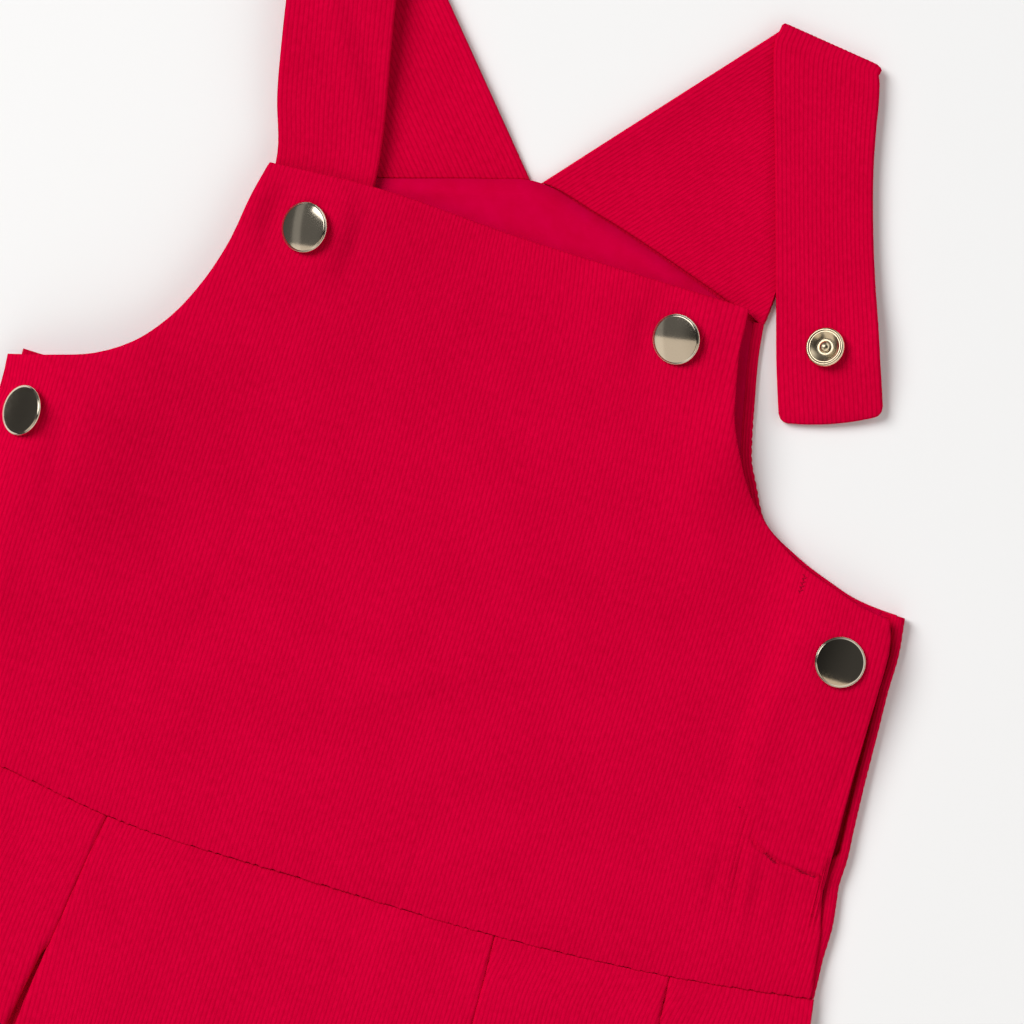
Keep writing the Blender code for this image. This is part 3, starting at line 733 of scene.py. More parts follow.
def makeSkirt():
    pitch = wale / ribColumns
    waist = along(front["waist"], np.linspace(0, 1, 120))
    # rows from the waist down, closer near the seam and the hem
    shares = [[0, 0.0009, 0.0026, 0.0055], np.linspace(0.012, 0.36, 20), np.linspace(0.39, 1, 12)[:-1]]
    shares = np.concatenate(shares + [[0.9955, 0.998, 1.0]])
    waistX, _, waistRun = skirtPath(0.0)
    index = np.arange(-int(-waistRun[0] // pitch), int(waistRun[-1] // pitch) + 1)
    marks = index * pitch
    # hidden turned-under cloth needs few columns
    hidden = np.zeros(len(marks), bool)
    for low, high in skirt["hidden"]:
        hidden |= (np.abs(marks) > low) & (np.abs(marks) < high)
    use = ~hidden | (index % (2 * ribColumns) == 0)
    marks, index, hidden = marks[use], index[use], hidden[use]
    seam = atWidth(waist, np.interp(marks, waistRun, waistX)) - 0.06
    shift = np.zeros(len(marks))
    spread = skirt["spread"]
    points = []
    for t, below in zip(shares, np.append(shares[1:], shares[-1])):
        xs, zs, run = skirtPath(t)
        y = seam - skirt["drop"] * t
        at = marks - shift
        for way, end, reach in ((1, run[-1], waistRun[-1]), (-1, -run[0], -waistRun[0])):
            stretch = (end - spread) / (max(reach, spread + 1) - spread)
            at = np.where(at * way > spread, way * (spread + (at * way - spread) * stretch), at)
        x = np.interp(at, run, xs)
        points.append(np.stack([x, y, np.interp(at, run, zs)], -1))
        shift = shift + skirtLean(x, y) * (below - t) * skirt["drop"]
    middle = np.array(points)[::-1]
    # the cloth rounds off into the seam, and its hem is turned up
    down = shares[::-1] * skirt["drop"]
    gap = np.minimum(down, skirt["drop"] - down)
    pressed = 1 - smooth(down, 1, 16)
    wall = walls["skirt"] - (walls["skirt"] - skirt["pressed"]) * pressed
    half = (wall * roundOver(gap, 0.9, np.where(down < 10, 0.72, 0.25)))[:, None, None] / 2
    normal = gridNormals(middle)
    relief = np.where(hidden, 0, ribs(index))[None, :, None]
    uv = np.stack(np.broadcast_arrays(marks[None, :], -down[:, None]), -1)
    top, under = middle + normal * (half + relief - ribHeight), middle - normal * half
    made = clothMesh("frontSkirt", top, under, uv)
    finishPiece(made, corduroy, "front_skirt")


makeSkirt()

# The back's outline, whose top edge carries the straps.
back = {
    "waist": [
        (-139, -187), (-98, -190.5), (-65, -195.5), (0, -197), (54, -197), (105, -194), (147.6, -189),
    ],
    "top": [(-73.5, -3), (-40, 5.5), (-10, 14), (3, 17.2), (23.5, 13), (53.5, 4), (78.4, -4.6)],
    "sideRight": [
        (148.2, -190), (147.4, -178), (147.4, -166), (146.4, -159.5), (145.7, -155), (145.9, -147),
        (145.3, -138), (144.6, -126), (143.9, -108), (143.4, -96), (143.4, -86), (142.0, -74.4),
    ],
    "sideLeft": [(-139, -187), (-134, -150), (-129, -112), (-127, -92), (-127, -71.9)],
    "armholeRight": [
        (142.0, -74.4), (135.4, -74.2), (125.6, -72.9), (118.6, -70.7), (107, -66.2), (94.4, -58.4),
        (89.4, -49.7), (86.1, -43.1), (84.4, -37.1), (82.0, -25.8), (79.2, -11.4), (78.4, -4.6),
    ],
    "armholeLeft": [
        (-127, -71.9), (-117, -71.8), (-105, -68.2), (-94.5, -61.5), (-87.3, -51.5),
        (-80.6, -38), (-76.6, -24), (-74.6, -11), (-73.5, -3),
    ],
}

# The straps: the neck edge as a corner and a direction, the armhole edge, the fold, and the
# front part as rows of its inner and outer edge, x, y and height of each.
strapRibs = 23
strapWide = 33
strapRight = {
    "node": "strap_right",
    "neck": ((4.0, 17.5), (54.4, 62.6)),
    "side": 1,
    "arm": [(78.4, -4.4), (79.4, 5.0), (80.2, 18.0), (81.6, 35.0), (84.8, 56.0), (89.9, 75.2)],
    "fold": ((58.4, 79.4), (89.9, 75.2)),
    "swell": 1.9,
    "front": [
        (58.4, 79.4, 2.6, 89.9, 75.2, 2.6),
        (57.9, 75.8, 2.6, 91.0, 72.3, 2.6),
        (58.6, 72.8, 2.6, 91.9, 68.6, 2.6),
        (62.3, 60.5, 2.6, 93.4, 61.0, 2.6),
        (67.5, 44.0, 2.6, 96.3, 48.0, 2.6),
        (73.0, 26.0, 2.6, 101.6, 30.0, 2.6),
        (77.4, 11.5, 2.6, 106.0, 17.0, 3.2),
        (81.6, -2.0, 0.9, 110.6, 4.5, 4.4),
        (84.9, -12.8, 0.1, 113.6, -4.0, 4.4),
        (88.4, -23.2, 0.0, 117.0, -13.0, 2.8),
        (90.8, -30.0, 0.0, 119.3, -19.4, 1.6),
    ],
    "corner": 2.6,
    "bow": 1.5,
    "creases": [],
    "snap": (97.6, -5.4),
}
strapLeft = {
    "node": "strap_left",
    "neck": ((2.8, 17.5), (-0.656, 0.755)),
    "side": -1,
    "arm": [(-71.2, -2.4), (-71.6, 6.0), (-73.0, 14.0), (-76.0, 31.0), (-80.3, 49.0), (-85.5, 66.5)],
    "fold": ((-53.5, 80.0), (-85.5, 66.5)),
    "swell": 2.6,
    "front": [
        (-53.5, 80.0, 7.0, -85.5, 66.5, 8.6),
        (-51.8, 61.0, 6.9, -83.0, 54.0, 8.4),
        (-48.2, 41.0, 6.0, -79.9, 36.5, 7.4),
        (-44.3, 21.5, 5.0, -76.3, 19.0, 6.0),
        (-42.0, 5.0, 4.3, -71.7, 3.5, 4.8),
        (-41.6, -6.0, 4.0, -71.2, -7.0, 4.0),
        (-42.2, -24.0, 3.6, -71.8, -25.0, 3.6),
        (-43.5, -34.5, 3.3, -71.5, -35.0, 3.3),
    ],
    "corner": 3.0,
    "bow": 0.5,
    # soft creases that run down from the shoulder: x at one height, height, half width
    "creases": [(-62, 0.7, 4.0), (-54, -0.5, 4.5)],
    "snap": (-57.6, -14.6),
}


def lineHit(origin, direction, low, high):
    # how far along a line it crosses the segment low-high
    low, high = np.array(low), np.array(high)
    across = high - low
    cross = direction[0] * across[1] - direction[1] * across[0]
    if abs(cross) < 1e-9:
        return None
    off = low - origin
    far = (off[0] * across[1] - off[1] * across[0]) / cross
    share = (off[0] * direction[1] - off[1] * direction[0]) / cross
    return far if -1e-6 <= share <= 1 + 1e-6 else None


def curveHit(origin, direction, curve, least):
    # the nearest crossing of a curve that is further than least
    hits = [lineHit(origin, direction, low, high) for low, high in zip(curve, curve[1:])]
    return min((far for far in hits if far is not None and far > least), default=None)


def strapColumns(spec, count):
    # Where each column of the back part starts on the back's top edge and where it ends: on
    # the fold for the first ones, on the armhole edge for those beyond it.
    corner, direction = np.array(spec["neck"])
    direction = direction / math.hypot(*direction)
    normal = np.array([direction[1], -direction[0]]) * spec["side"]
    foldLow, foldHigh = np.array(spec["fold"])
    edge = foldHigh - foldLow
    arm = along(spec["arm"], np.linspace(0, 1, 60))
    base = along(back["top"], np.linspace(0, 1, 160))
    base[:, 1] += 0.03
    approach = 60.0  # every line starts this far before the neck's corner
    startReach = float((foldLow - corner) @ normal)
    pitch = (float((foldHigh - corner) @ normal) - startReach) / count
    widest = max(float((p - corner) @ normal) for p in arm)
    starts, tops, marks = [], [], []
    for j in range(int((widest - startReach) / pitch)):
        reach = startReach + j * pitch
        origin = corner + normal * reach - direction * approach
        low = curveHit(origin, direction, base, 0.5)
        if low is None and j > count:
            break
        low = approach if low is None else low
        if j <= count:
            high = lineHit(origin, direction, foldLow - edge * 0.1, foldHigh + edge * 0.1)
        else:
            high = curveHit(origin, direction, arm, low + 0.2)
        if high is None or high - low < 0.4:
            break
        starts.append(origin + direction * low)
        tops.append(origin + direction * high)
        marks.append(reach)
    return np.array(starts), np.array(tops), np.array(marks), pitch


def unitRows(vectors):
    return vectors / np.maximum(np.linalg.norm(vectors, axis=1, keepdims=True), 1e-6)


def strapRows(spec, starts, tops, count, insets):
    # the middle of the cloth row by row, its length along each column, and how many rows
    # are in the back part; the last rows lie at the insets from the free end
    columns = len(starts)
    across = np.clip(np.arange(columns) / count, 0, 1)
    span = np.linalg.norm(tops - starts, axis=1)
    squeeze = np.clip(span / 10, 0.02, 1)
    unit = (tops - starts) / np.maximum(span, 1e-6)[:, None]
    rows, lengths = [], []

    def addRow(place, height, length):
        rows.append(np.column_stack([place, np.full(columns, height)]))
        lengths.append(length)

    # the back part, from the back's top edge to the fold
    half = walls["strap"] / 2
    ends = (0.0, 0.3, 0.8)
    for e in ends:
        addRow(starts + unit * (e * squeeze)[:, None], half, e * squeeze)
    for f in np.linspace(0, 1, 16)[1:-1]:
        addRow(starts + (tops - starts) * f, half, span * f)
    for e in ends[::-1]:
        addRow(tops - unit * (e * squeeze)[:, None], half, span - e * squeeze)
    backRows = len(rows)
    # round over the fold, blunter towards its outer corner
    table = along(spec["front"], np.linspace(0, 1, 42))
    edge = np.diff(spec["fold"], axis=0)[0]
    out = np.array([-edge[1], edge[0]])
    out = out / np.linalg.norm(out) * (1 if out[1] > 0 else -1)
    blunt = roundOver((1 - across) * strapWide, 3.0, 0.25)
    firstZ = table[0, 2] + (table[0, 5] - table[0, 2]) * across
    for turn in (-60, -30, 0, 30, 60):
        swell = spec["swell"] * math.cos(math.radians(turn))
        rise = firstZ / 2 * (1 + math.sin(math.radians(turn)))
        addRow(tops + out * swell * blunt[:, None], half + rise, span + 1.5 + turn / 60 * 1.3)
    # the front part; its first rows ease from the fold into the table's own line
    share = across[:, None]
    runs = np.concatenate([[0], np.cumsum(np.linalg.norm(np.diff(table[:, :2], axis=0), axis=1))])
    firstLine = table[0, :2] + (table[0, 3:5] - table[0, :2]) * share
    easing = 4
    for k, row in enumerate(table):
        line = row[:3] + (row[3:] - row[:3]) * share + np.array([0, 0, half])
        if k == 0:
            line[:, :2] = tops
        elif k < easing:
            line[:, :2] += (tops - firstLine) * (1 - k / easing)
        rows.append(line)
        lengths.append(span + 3 + runs[k])
    # the end is turned in: it bows out a little and its corners are round
    wide = np.linalg.norm(table[-1, 3:5] - table[-1, :2])
    fromSide = np.minimum(across, 1 - across) * wide
    cut = spec["corner"] * (1 - roundOver(fromSide, spec["corner"], 0))
    reachOut = spec["bow"] * 4 * across * (1 - across) - cut
    outward = unitRows(rows[-1] - rows[-2])
    for k, part in ((-1, 1), (-2, 0.55), (-3, 0.2)):
        rows[k] = rows[k] + outward * (reachOut * part)[:, None]
    lastRow = rows[-1].copy()
    pull = unitRows(lastRow - rows[-2])
    rows[-1] = lastRow - pull * insets[0]
    lengths[-1] = lengths[-1] - insets[0]
    for e in insets[1:]:
        rows.append(lastRow - pull * e)
        lengths.append(lengths[-1] + 0.3)
    return np.array(rows), np.array(lengths), backRows


def strapThickness(middle, lengths, span, backRows, reaching, sideways, insets):
    # share of the wall's thickness, from the distance to the neck edge, armhole edge and ends
    distance = np.minimum(np.full(middle.shape[:2], 9.0), sideways[None, :])
    farSide = np.maximum(sideways[reaching - 1] - sideways, 0)
    distance[backRows:] = np.minimum(distance[backRows:], farSide[None, :])
    distance = np.minimum(distance, np.maximum(lengths, 0))
    toTop = np.maximum(span[None, :] - lengths[:backRows], 0)
    distance[:backRows, reaching:] = np.minimum(distance[:backRows, reaching:], toTop[:, reaching:])
    distance[-len(insets) :] = np.minimum(distance[-len(insets) :], np.array(insets)[:, None])
    return roundOver(distance, 1.1, 0.25)


def makeStrap(name, spec):
    count = strapRibs * ribColumns
    insets = [0.9, 0.4, 0.12, 0.0]
    starts, tops, marks, pitch = strapColumns(spec, count)
    columns = len(marks)
    reaching = min(count + 1, columns)  # columns that go over the fold
    middle, lengths, backRows = strapRows(spec, starts, tops, count, insets)
    x, y = middle[backRows:, :, 0], middle[backRows:, :, 1]
    for atX, height, halfWide in spec["creases"]:
        crease = height * np.exp(-(((x - atX + (y - 38) * 0.62) / halfWide) ** 2))
        middle[backRows:, :, 2] += crease * smooth(y, 8, 24)
    # the neck edge of the back part lies a little off the table
    sideways = np.arange(columns) * pitch
    sag = np.exp(-(sideways / 7.0) ** 2) * 1.3
    middle[:backRows, :, 2] += sag * smooth(middle[:backRows, :, 1], 20, 34)
    keep = np.ones((len(middle) - 1, columns - 1), bool)
    keep[backRows - 1 :, reaching - 1 :] = False
    normals = gridNormals(middle)
    # columns that border on nothing take their neighbours' normals
    normals[backRows:, reaching:] = normals[backRows:, reaching - 1][:, None, :]
    normals[backRows - 1 :, reaching - 1] = normals[backRows - 1 :, max(reaching - 2, 0)]
    span = np.linalg.norm(tops - starts, axis=1)
    thick = walls["strap"] / 2 * strapThickness(middle, lengths, span, backRows, reaching, sideways, insets)
    lift = thick[..., None] + ribs(np.arange(columns))[None, :, None] - ribHeight
    top, under = middle + normals * lift, middle - normals * lift
    if spec["side"] < 0:
        # the left strap's columns run leftward, so both grids are turned round
        top, under = under[:, ::-1], top[:, ::-1]
        middle, keep = middle[:, ::-1], keep[:, ::-1]
        marks, lengths = marks[::-1], lengths[:, ::-1]
    # the stud's shank passes through the front part
    cells = (middle[:-1, :-1] + middle[1:, 1:]) / 2
    hole = np.hypot(cells[..., 0] - spec["snap"][0], cells[..., 1] - spec["snap"][1]) < 2.4
    hole[:backRows] = False
    keep &= ~hole
    uv = np.stack([np.broadcast_to(marks * wale / (ribColumns * pitch), lengths.shape), lengths], -1)
    made = clothMesh(name, top, under, uv, keep)
    finishPiece(made, corduroy, spec["node"])


makeStrap("strapRight", strapRight)
makeStrap("strapLeft", strapLeft)


def flatCloth(name, rows, level, half):
    # a flat panel with its middle at one level
    return clothMesh(name, np.dstack([rows, level + half]), np.dstack([rows, level - half]), rows)


def panelRows(left, right, shares):
    # rows from the waist up between two sides, bowed as the waist below and the top above
    low, high = along(back["waist"], shares), along(back["top"], shares)
    across = shares[:, None]
    bowLow = low - (low[0] * (1 - across) + low[-1] * across)
    bowHigh = high - (high[0] * (1 - across) + high[-1] * across)
    rows = []
    for i, (a, b) in enumerate(zip(left, right)):
        t = i / (len(left) - 1)
        rows.append(a * (1 - across) + b * across + bowLow * (1 - t) ** 2 + bowHigh * t**4)
    return np.array(rows)


def sidePoints(side, armhole, count):
    lower = along(side, np.linspace(0, 1, count + 1))
    upper = along(armhole, np.linspace(0, 1, count + 1))
    return np.vstack([lower, upper[1:]])


def makeBack():
    # columns closer together at the sides, where the edges are round
    close = np.array([0.0008, 0.0025, 0.006, 0.01, 0.015])
    shares = np.unique(np.concatenate([np.linspace(0, 1, 121), close, 1 - close]))
    left = sidePoints(back["sideLeft"], back["armholeLeft"], 24)
    right = sidePoints(back["sideRight"], back["armholeRight"], 24)
    rows = panelRows(left, right, shares)
    width = (right[:, 0] - left[:, 0])[:, None]
    thick = roundOver(np.minimum(shares, 1 - shares)[None, :] * width, 0.8, 0.3)
    half = walls["back"] / 2
    made = flatCloth("backBodice", rows, half, half * thick)
    finishPiece(made, corduroy, "back_bodice")

    # the lining stops short of the back's turned-in sides
    inner = rows.copy()
    inner[0, :, 1] += 2.0
    atSide = 1 - smooth(rows[:, 0, 1], -71.9, -51.9)
    low = rows[:, 0, 0] + 0.7 + 6.3 * atSide
    high = rows[:, -1, 0] - 2.75 - 4.25 * atSide
    inner[..., 0] = low[:, None] + (high - low)[:, None] * shares[None, :]
    made = flatCloth("backLining", inner, 2.0, walls["lining"] / 2 * thick)
    finishPiece(made, lining, "back_lining")


def makeRoll(name, curve, width, height, scallop, slopes):
    # An edge of the back rolled over its facing: the ribs run along it and the back's own
    # ribs end on it in small scallops.
    ribPitch = 0.85  # narrower than the wale, because the cloth is stretched round the edge
    tangent = np.gradient(curve, axis=0)
    tangent /= np.linalg.norm(tangent, axis=1, keepdims=True)
    outward = np.stack([tangent[:, 1], -tangent[:, 0]], -1)
    length = np.concatenate([[0], np.cumsum(np.linalg.norm(np.diff(curve, axis=0), axis=1))])
    bumps = scallop * np.abs(np.sin(math.pi * length / (wale * 1.9)))
    width = width * np.ones(len(curve))
    base = walls["back"] + 0.05
    top, under, uv = [], [], []
    for turn in np.linspace(0, math.pi, 25):
        off = width * (0.5 + 0.5 * math.cos(turn) - 1)
        ridge = 0.06 * np.cos(2 * math.pi * off / ribPitch)
        place = curve + outward * (off + 0.2 + bumps * max(math.cos(turn), 0) ** 2)[:, None]
        z = base + height * (math.sin(turn / 2) ** 0.8 if slopes else math.sin(turn) ** 0.45) + ridge
        top.append(np.column_stack([place, z]))
        under.append(np.column_stack([place, np.minimum(z - 0.02, walls["back"] + 0.02)]))
        uv.append(np.column_stack([off * wale / ribPitch, length]))
    top, under, uv = (np.array(a)[::-1].transpose(1, 0, 2) for a in (top, under, uv))
    finishPiece(clothMesh(name, top, under, uv), corduroy, "back_bodice")


def makeRolls():
    # round the right armhole, up to just behind the strap
    curve = along(back["armholeRight"] + [(78.3, -3.7)], np.linspace(0.02, 1, 460))
    down = -curve[:, 1]
    makeRoll("armRoll", curve, 3.1, 1.3, 0.24 * smooth(down, 22, 36) * (1 - smooth(down, 55, 60)), True)
    # down the right side, broader where the opening ends and at the armhole
    curve = along(back["sideRight"], np.linspace(0.013, 1, 420))
    down = -curve[:, 1]
    curve[:, 0] += 0.12 * np.sin(-down / 5.1) * smooth(down, 140, 158) * (1 - smooth(down, 180, 189))
    height = 2.6 - 0.5 * smooth(down, 150, 156) + 1.0 * (1 - smooth(down, 76, 88))
    width = 3.0 + 1.6 * smooth(down, 145, 148) + 1.5 * (1 - smooth(down, 76, 86))
    makeRoll("sideRoll", curve, width, height, 0.1, False)


def makeBackSkirt():
    shares = np.linspace(0, 1, 81)
    waist = along(back["waist"], shares)
    rows = []
    for t in np.linspace(1, 0, 24):
        x = waist[:, 0] * (1 - t) + (skirt["hemLeft"] + skirt["hemWide"] * shares) * t
        rows.append(np.column_stack([x, waist[:, 1] - 0.3 - skirt["drop"] * t]))
    half = np.full((len(rows), len(shares)), walls["back"] / 2)
    made = flatCloth("backSkirt", np.array(rows), walls["back"] / 2, half)
    finishPiece(made, corduroy, "back_skirt")


# The strips under the side openings: their heights, where they end inward, how far below the
# front's middle the left one follows it, and the least height of their middles.
strips = {"heights": (-153, -77.5), "leftEnd": -106, "rightEnd": 112, "below": 4.5, "least": 3.4}


def makeStrip(name, rows, node):
    middle = np.array(rows)
    half = walls["strip"] / 2
    normal = gridNormals(middle)
    relief = ribs(np.arange(middle.shape[1]))[None, :, None]
    top, under = middle + normal * (half + relief - ribHeight), middle - normal * half
    made = clothMesh(name, top, under, middle[..., :2])
    finishPiece(made, corduroy, node)


def makeStrips():
    leftRows, rightRows = [], []
    for y in np.linspace(*strips["heights"], 26):
        x = np.linspace(float(atHeight(back["sideLeft"], y)) - 0.6, strips["leftEnd"], 60)
        dx, dy = frontSlope(x, y)
        size = np.sqrt(dx**2 + dy**2 + 1)
        z = frontUnder(x, y) + walls["front"] / 2 - strips["below"] / size
        place = [x + dx / size * strips["below"], np.full(len(x), y), np.maximum(z, strips["least"])]
        leftRows.append(np.column_stack(place))
        x = np.linspace(strips["rightEnd"], float(atHeight(back["sideRight"], y)) - 5.0, 66)
        near = 1 - smooth(np.hypot(x - 127.2, y + 92.0), 7, 16)
        rightRows.append(np.column_stack([x, np.full(len(x), y), strips["least"] + 0.8 * near]))
    makeStrip("placketLeft", leftRows, "placket_left")
    makeStrip("placketRight", rightRows, "placket_right")


makeBack()
makeRolls()
makeBackSkirt()
makeStrips()


def turned(name, profile, sides=72):
    # a turned piece; its profile is radius and height from the top centre outward and down
    angles = np.linspace(0, 2 * math.pi, sides, endpoint=False)
    places, faces = [(0, 0, profile[0][1])], []
    rings = len(profile) - 2
    for r, z in profile[1:-1]:
        places += [(r * math.cos(a), r * math.sin(a), z) for a in angles]
    places.append((0, 0, profile[-1][1]))
    for k in range(sides):
        n = (k + 1) % sides
        faces.append((0, 1 + k, 1 + n))
        for i in range(rings - 1):
            a, b = 1 + i * sides, 1 + (i + 1) * sides
            faces.append((a + k, b + k, b + n, a + n))
        a = 1 + (rings - 1) * sides
        faces.append((a + k, len(places) - 1, a + n))
    mesh = bpy.data.meshes.new(name)
    mesh.from_pydata([(x * mm, y * mm, z * mm) for x, y, z in places], [], faces)
    mesh.shade_smooth()
    mesh.set_sharp_from_angle(angle=math.radians(50))
    return newObject(name, mesh)


def domeProfile(rise):
    # a shallow dome whose edge rounds over to a thin rolled rim, with shank and socket below
    radii = [*np.linspace(0, 6.6, 16), 6.75, 6.85, 6.95, 7.05, 7.12]
    dome = [(r, 1.2 + rise * (1 - (r / 7.0) ** 2) - 0.9 * max(r - 6.7, 0) ** 2) for r in radii]
    rim = [(7.18, 1.03), (7.26, 1.02), (7.34, 0.97), (7.41, 0.87), (7.45, 0.74)]
    rim += [(7.46, 0.55), (7.4, 0.38), (7.2, 0.25), (6.9, 0.2)]
    under = -walls["front"] - 0.3
    foot = under - 1.6
    shank = [(1.8, 0.3), (1.8, under), (5.6, under), (5.6, foot + 0.3)]
    shank += [(5.3, foot), (2.2, foot), (2.2, under - 0.2), (0, under - 0.2)]
    return dome + rim + shank


def studProfile(wall, dished):
    # a ball on a plate, which is a deep dish with a rolled rim on the stud that shows
    under = -wall - 0.3
    ball = [(0, 2.3), (0.7, 2.25), (1.2, 2.05), (1.55, 1.75), (1.65, 1.45), (1.5, 1.05), (1.35, 0.85)]
    if dished:
        plate = [(1.7, 0.62), (2.2, 0.62), (2.8, 0.74), (3.4, 0.95), (4.0, 1.22), (4.35, 1.42)]
        plate += [(4.5, 1.48), (4.62, 1.44), (4.75, 1.48), (5.0, 1.6), (5.3, 1.6), (5.58, 1.48)]
        plate += [(5.78, 1.25), (5.9, 0.95), (5.9, 0.6), (5.75, 0.3)]
    else:
        plate = [(1.6, 0.8), (5.6, 0.8), (5.9, 0.6), (5.9, 0.3)]
    return ball + plate + [(1.8, 0.3), (1.8, under), (4.5, under), (4.5, under - 0.5), (0, under - 0.5)]


def stand(made, place, normal):
    turn = Vector((0, 0, 1)).rotation_difference(Vector(normal).normalized()).to_matrix().to_4x4()
    made.data.transform(Matrix.Translation(Vector(place) * mm) @ turn)


def makeSnaps():
    capRadius = 7.5
    wall = walls["front"]
    for snap in frontSnaps:
        name, (x, y) = snap["name"], snap["at"]
        dx, dy = snap["slope"] or frontSlope(x, y)
        normal = Vector((-float(dx), -float(dy), 1)).normalized()
        place = Vector((x, y, float(frontUnder(x, y)) + wall / 2)) + normal * wall / 2
        leaning = (normal + Vector((*snap["lean"], 0))).normalized()
        lift = 0.5 * capRadius * math.sin(leaning.angle(normal))
        cap = turned(f"{name}_cap", domeProfile(snap["dome"]))
        stand(cap, place + normal * lift + Vector((*snap["shift"], 0)), leaning)
        finishPiece(cap, gold, name)
        if snap["stud"]:
            node, studWall = snap["stud"]
            stud = turned(f"{node}_turned", studProfile(studWall, False), 48)
            under = Vector((0, 0, 1)) if snap["level"] else normal
            stand(stud, place - under * (wall + 3.0), under)
            finishPiece(stud, gold, node)
    # the open stud on the free strap leans with the cloth
    stud = turned("openStud", studProfile(walls["strap"], True))
    stand(stud, (97.5, -5.3, 5.0), (-0.37, 0.09, 1))
    # the stud takes the lighter copy of the plating, painted brightness for the light that it reflects
    finishPiece(stud, paintedBrightGold, "strap_stud_right")


makeSnaps()
print("dress made")

# Directions of the picture on the floor, and the point that the camera looks at, in metres.
across = Vector((math.cos(imageTurn), math.sin(imageTurn), 0))
upward = Vector((-math.sin(imageTurn), math.cos(imageTurn), 0))
aim = Vector((0.02347, -0.0772, 0.0))

# A big soft key from the upper left, pale walls to the right and below, a dark ceiling. The
# warm panels show in the polished caps and the small white one as the glint on their rims.
keyLight = {"way": (-0.74, 0.54, 0.86), "strength": 2.31, "angle": 36}
softPanels = [
    {
        "name": "warm panel", "at": (-1.55, -0.60, 1.15), "size": (1.95, 1.25),
        "watts": 4.2, "colour": "#FFF4E8", "turn": 0.22,
    },
    {
        "name": "overhead panel", "at": (0.15, -0.74, 1.75), "size": (1.0, 0.8),
        "watts": 1.6, "colour": "#FFF0DC", "turn": 0,
    },
    {
        "name": "white panel", "at": (-0.74, 0.61, 1.0), "size": (0.9, 0.5),
        "watts": 3.1, "colour": "#FFFFFF", "turn": -0.29,
    },
]


def pictureWay(right, up, height):
    return across * right + upward * up + Vector((0, 0, height))


def makeLights():
    data = bpy.data.lights.new("key", "SUN")
    data.energy = keyLight["strength"]
    data.angle = math.radians(keyLight["angle"])
    sun = newObject("key", data)
    sun.rotation_euler = pictureWay(*keyLight["way"]).to_track_quat("Z", "Y").to_euler()
    sun.visible_glossy = False
    for panel in softPanels:
        data = bpy.data.lights.new(panel["name"], "AREA")
        data.shape = "RECTANGLE"
        data.size, data.size_y = panel["size"]
        data.energy = panel["watts"]
        data.color = srgb(panel["colour"])[:3]
        lamp = newObject(panel["name"], data)
        lamp.location = aim + pictureWay(*panel["at"])
        lamp.rotation_euler.z = panel["turn"]


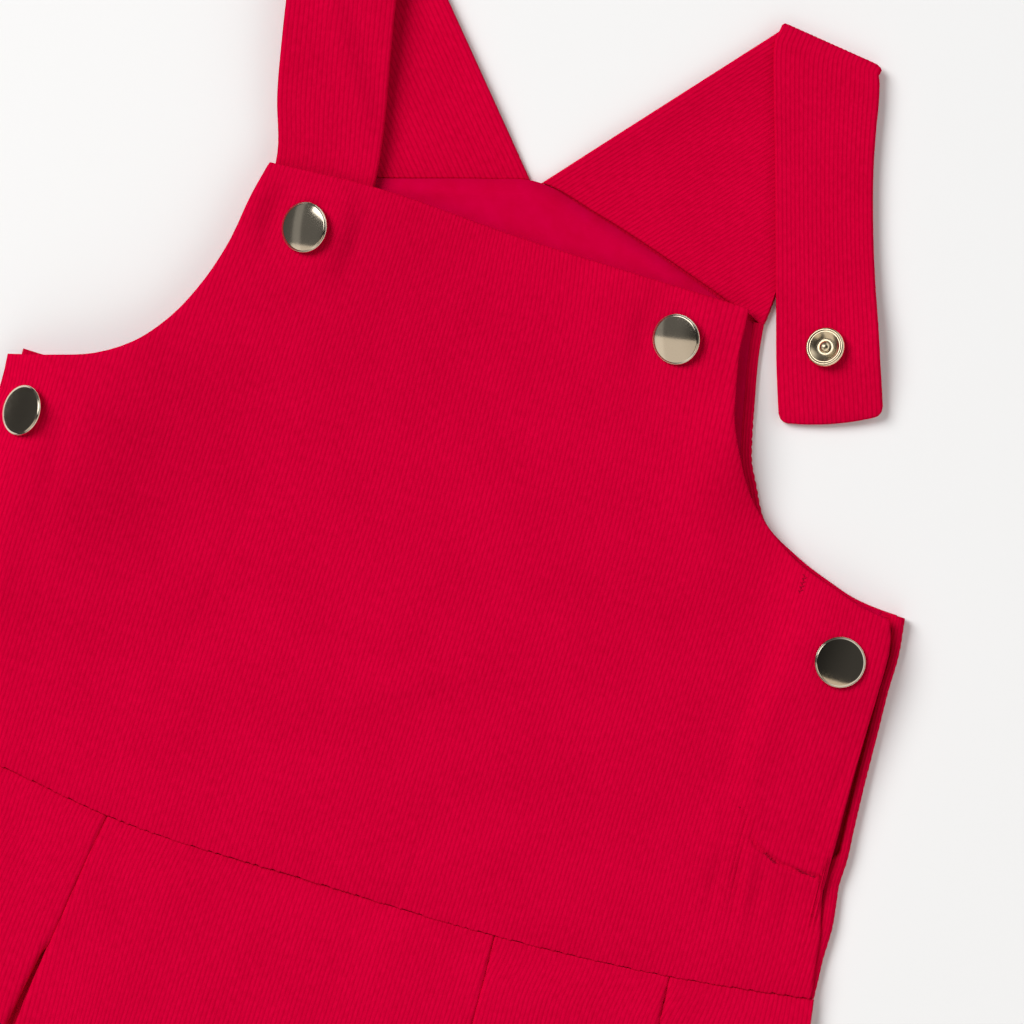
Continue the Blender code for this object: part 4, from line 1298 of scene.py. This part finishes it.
def makeWorld():
    world = bpy.data.worlds.new("studio")
    bpy.context.scene.world = world
    world.use_nodes = True
    sky = world.node_tree
    way = addNode(sky, "ShaderNodeTexCoord")
    parts = addNode(sky, "ShaderNodeSeparateXYZ", links={0: way.outputs["Generated"]})
    # the ceiling is dark
    walled = addNode(
        sky,
        "ShaderNodeMapRange",
        {"From Min": 0.70, "From Max": 0.90, "To Min": 1.0, "To Max": 0.05},
        {"Value": parts.outputs["Z"]},
        interpolation_type="SMOOTHSTEP",
    )
    # the walls to the left of the picture are dark
    facing = addNode(
        sky,
        "ShaderNodeVectorMath",
        {1: across * 0.94 - upward * 0.34},
        {0: way.outputs["Generated"]},
        operation="DOT_PRODUCT",
    )
    sides = addNode(
        sky,
        "ShaderNodeMapRange",
        {"From Min": -0.45, "From Max": 0.25, "To Min": 0.10, "To Max": 0.86},
        {"Value": facing.outputs["Value"]},
        interpolation_type="SMOOTHSTEP",
    )
    # a lighter upright strip in the left wall, which the left caps show as a soft band
    leftward = addNode(
        sky, "ShaderNodeVectorMath", {1: -across}, {0: way.outputs["Generated"]}, operation="DOT_PRODUCT"
    )
    slant = addNode(
        sky, "ShaderNodeMath", links={0: leftward.outputs["Value"], 1: parts.outputs["Z"]}, operation="DIVIDE"
    )
    stripStart = addNode(
        sky,
        "ShaderNodeMapRange",
        {"From Min": 1.5, "From Max": 1.6, "To Max": 0.16},
        {"Value": slant.outputs[0]},
        interpolation_type="SMOOTHSTEP",
    )
    stripEnd = addNode(
        sky,
        "ShaderNodeMapRange",
        {"From Min": 1.95, "From Max": 2.05, "To Min": 1.0, "To Max": 0.0},
        {"Value": slant.outputs[0]},
        interpolation_type="SMOOTHSTEP",
    )
    strip = addNode(
        sky, "ShaderNodeMath", links={0: stripStart.outputs[0], 1: stripEnd.outputs[0]}, operation="MULTIPLY"
    )
    # the walls brighten from the floor up
    rising = addNode(
        sky,
        "ShaderNodeMapRange",
        {"From Min": 0.05, "From Max": 0.55, "To Min": 0.35, "To Max": 1.25},
        {"Value": parts.outputs["Z"]},
    )
    strength = walled
    for source, operation in ((sides, "MULTIPLY"), (rising, "MULTIPLY"), (strip, "ADD")):
        strength = addNode(
            sky, "ShaderNodeMath", links={0: strength.outputs[0], 1: source.outputs[0]}, operation=operation
        )
    background = sky.nodes["Background"]
    background.inputs["Color"].default_value = srgb("#F6F6F6")
    sky.links.new(strength.outputs[0], background.inputs["Strength"])


def makeFloor():
    # Matte white paper, which gives the soft shadows round the cloth.
    half, level = 2.5, -0.0003
    mesh = bpy.data.meshes.new("floor")
    corners = [(-half, -half, level), (half, -half, level), (half, half, level), (-half, half, level)]
    mesh.from_pydata(corners, [], [(0, 1, 2, 3)])
    paper = startMaterial("white paper", Base_Color=srgb("#F4F4F4"), Roughness=0.9, Specular_IOR_Level=0.0)[0]
    mesh.materials.append(paper)
    newObject("floor", mesh)


def makeCamera():
    # straight from above, so far up that the picture's width is 0.2983 m at the cloth
    height, cloth, pictureWide = 1.5, 0.005, 0.2983
    data = bpy.data.cameras.new("camera")
    data.sensor_width = 36
    data.lens = data.sensor_width * (height - cloth) / pictureWide
    camera = newObject("camera", data)
    camera.location = (aim.x, aim.y, height)
    camera.rotation_euler = (0, 0, imageTurn)
    bpy.context.scene.camera = camera


makeLights()
makeWorld()
makeFloor()
makeCamera()
bpy.context.scene.view_settings.view_transform = "Standard"
print("stage made")
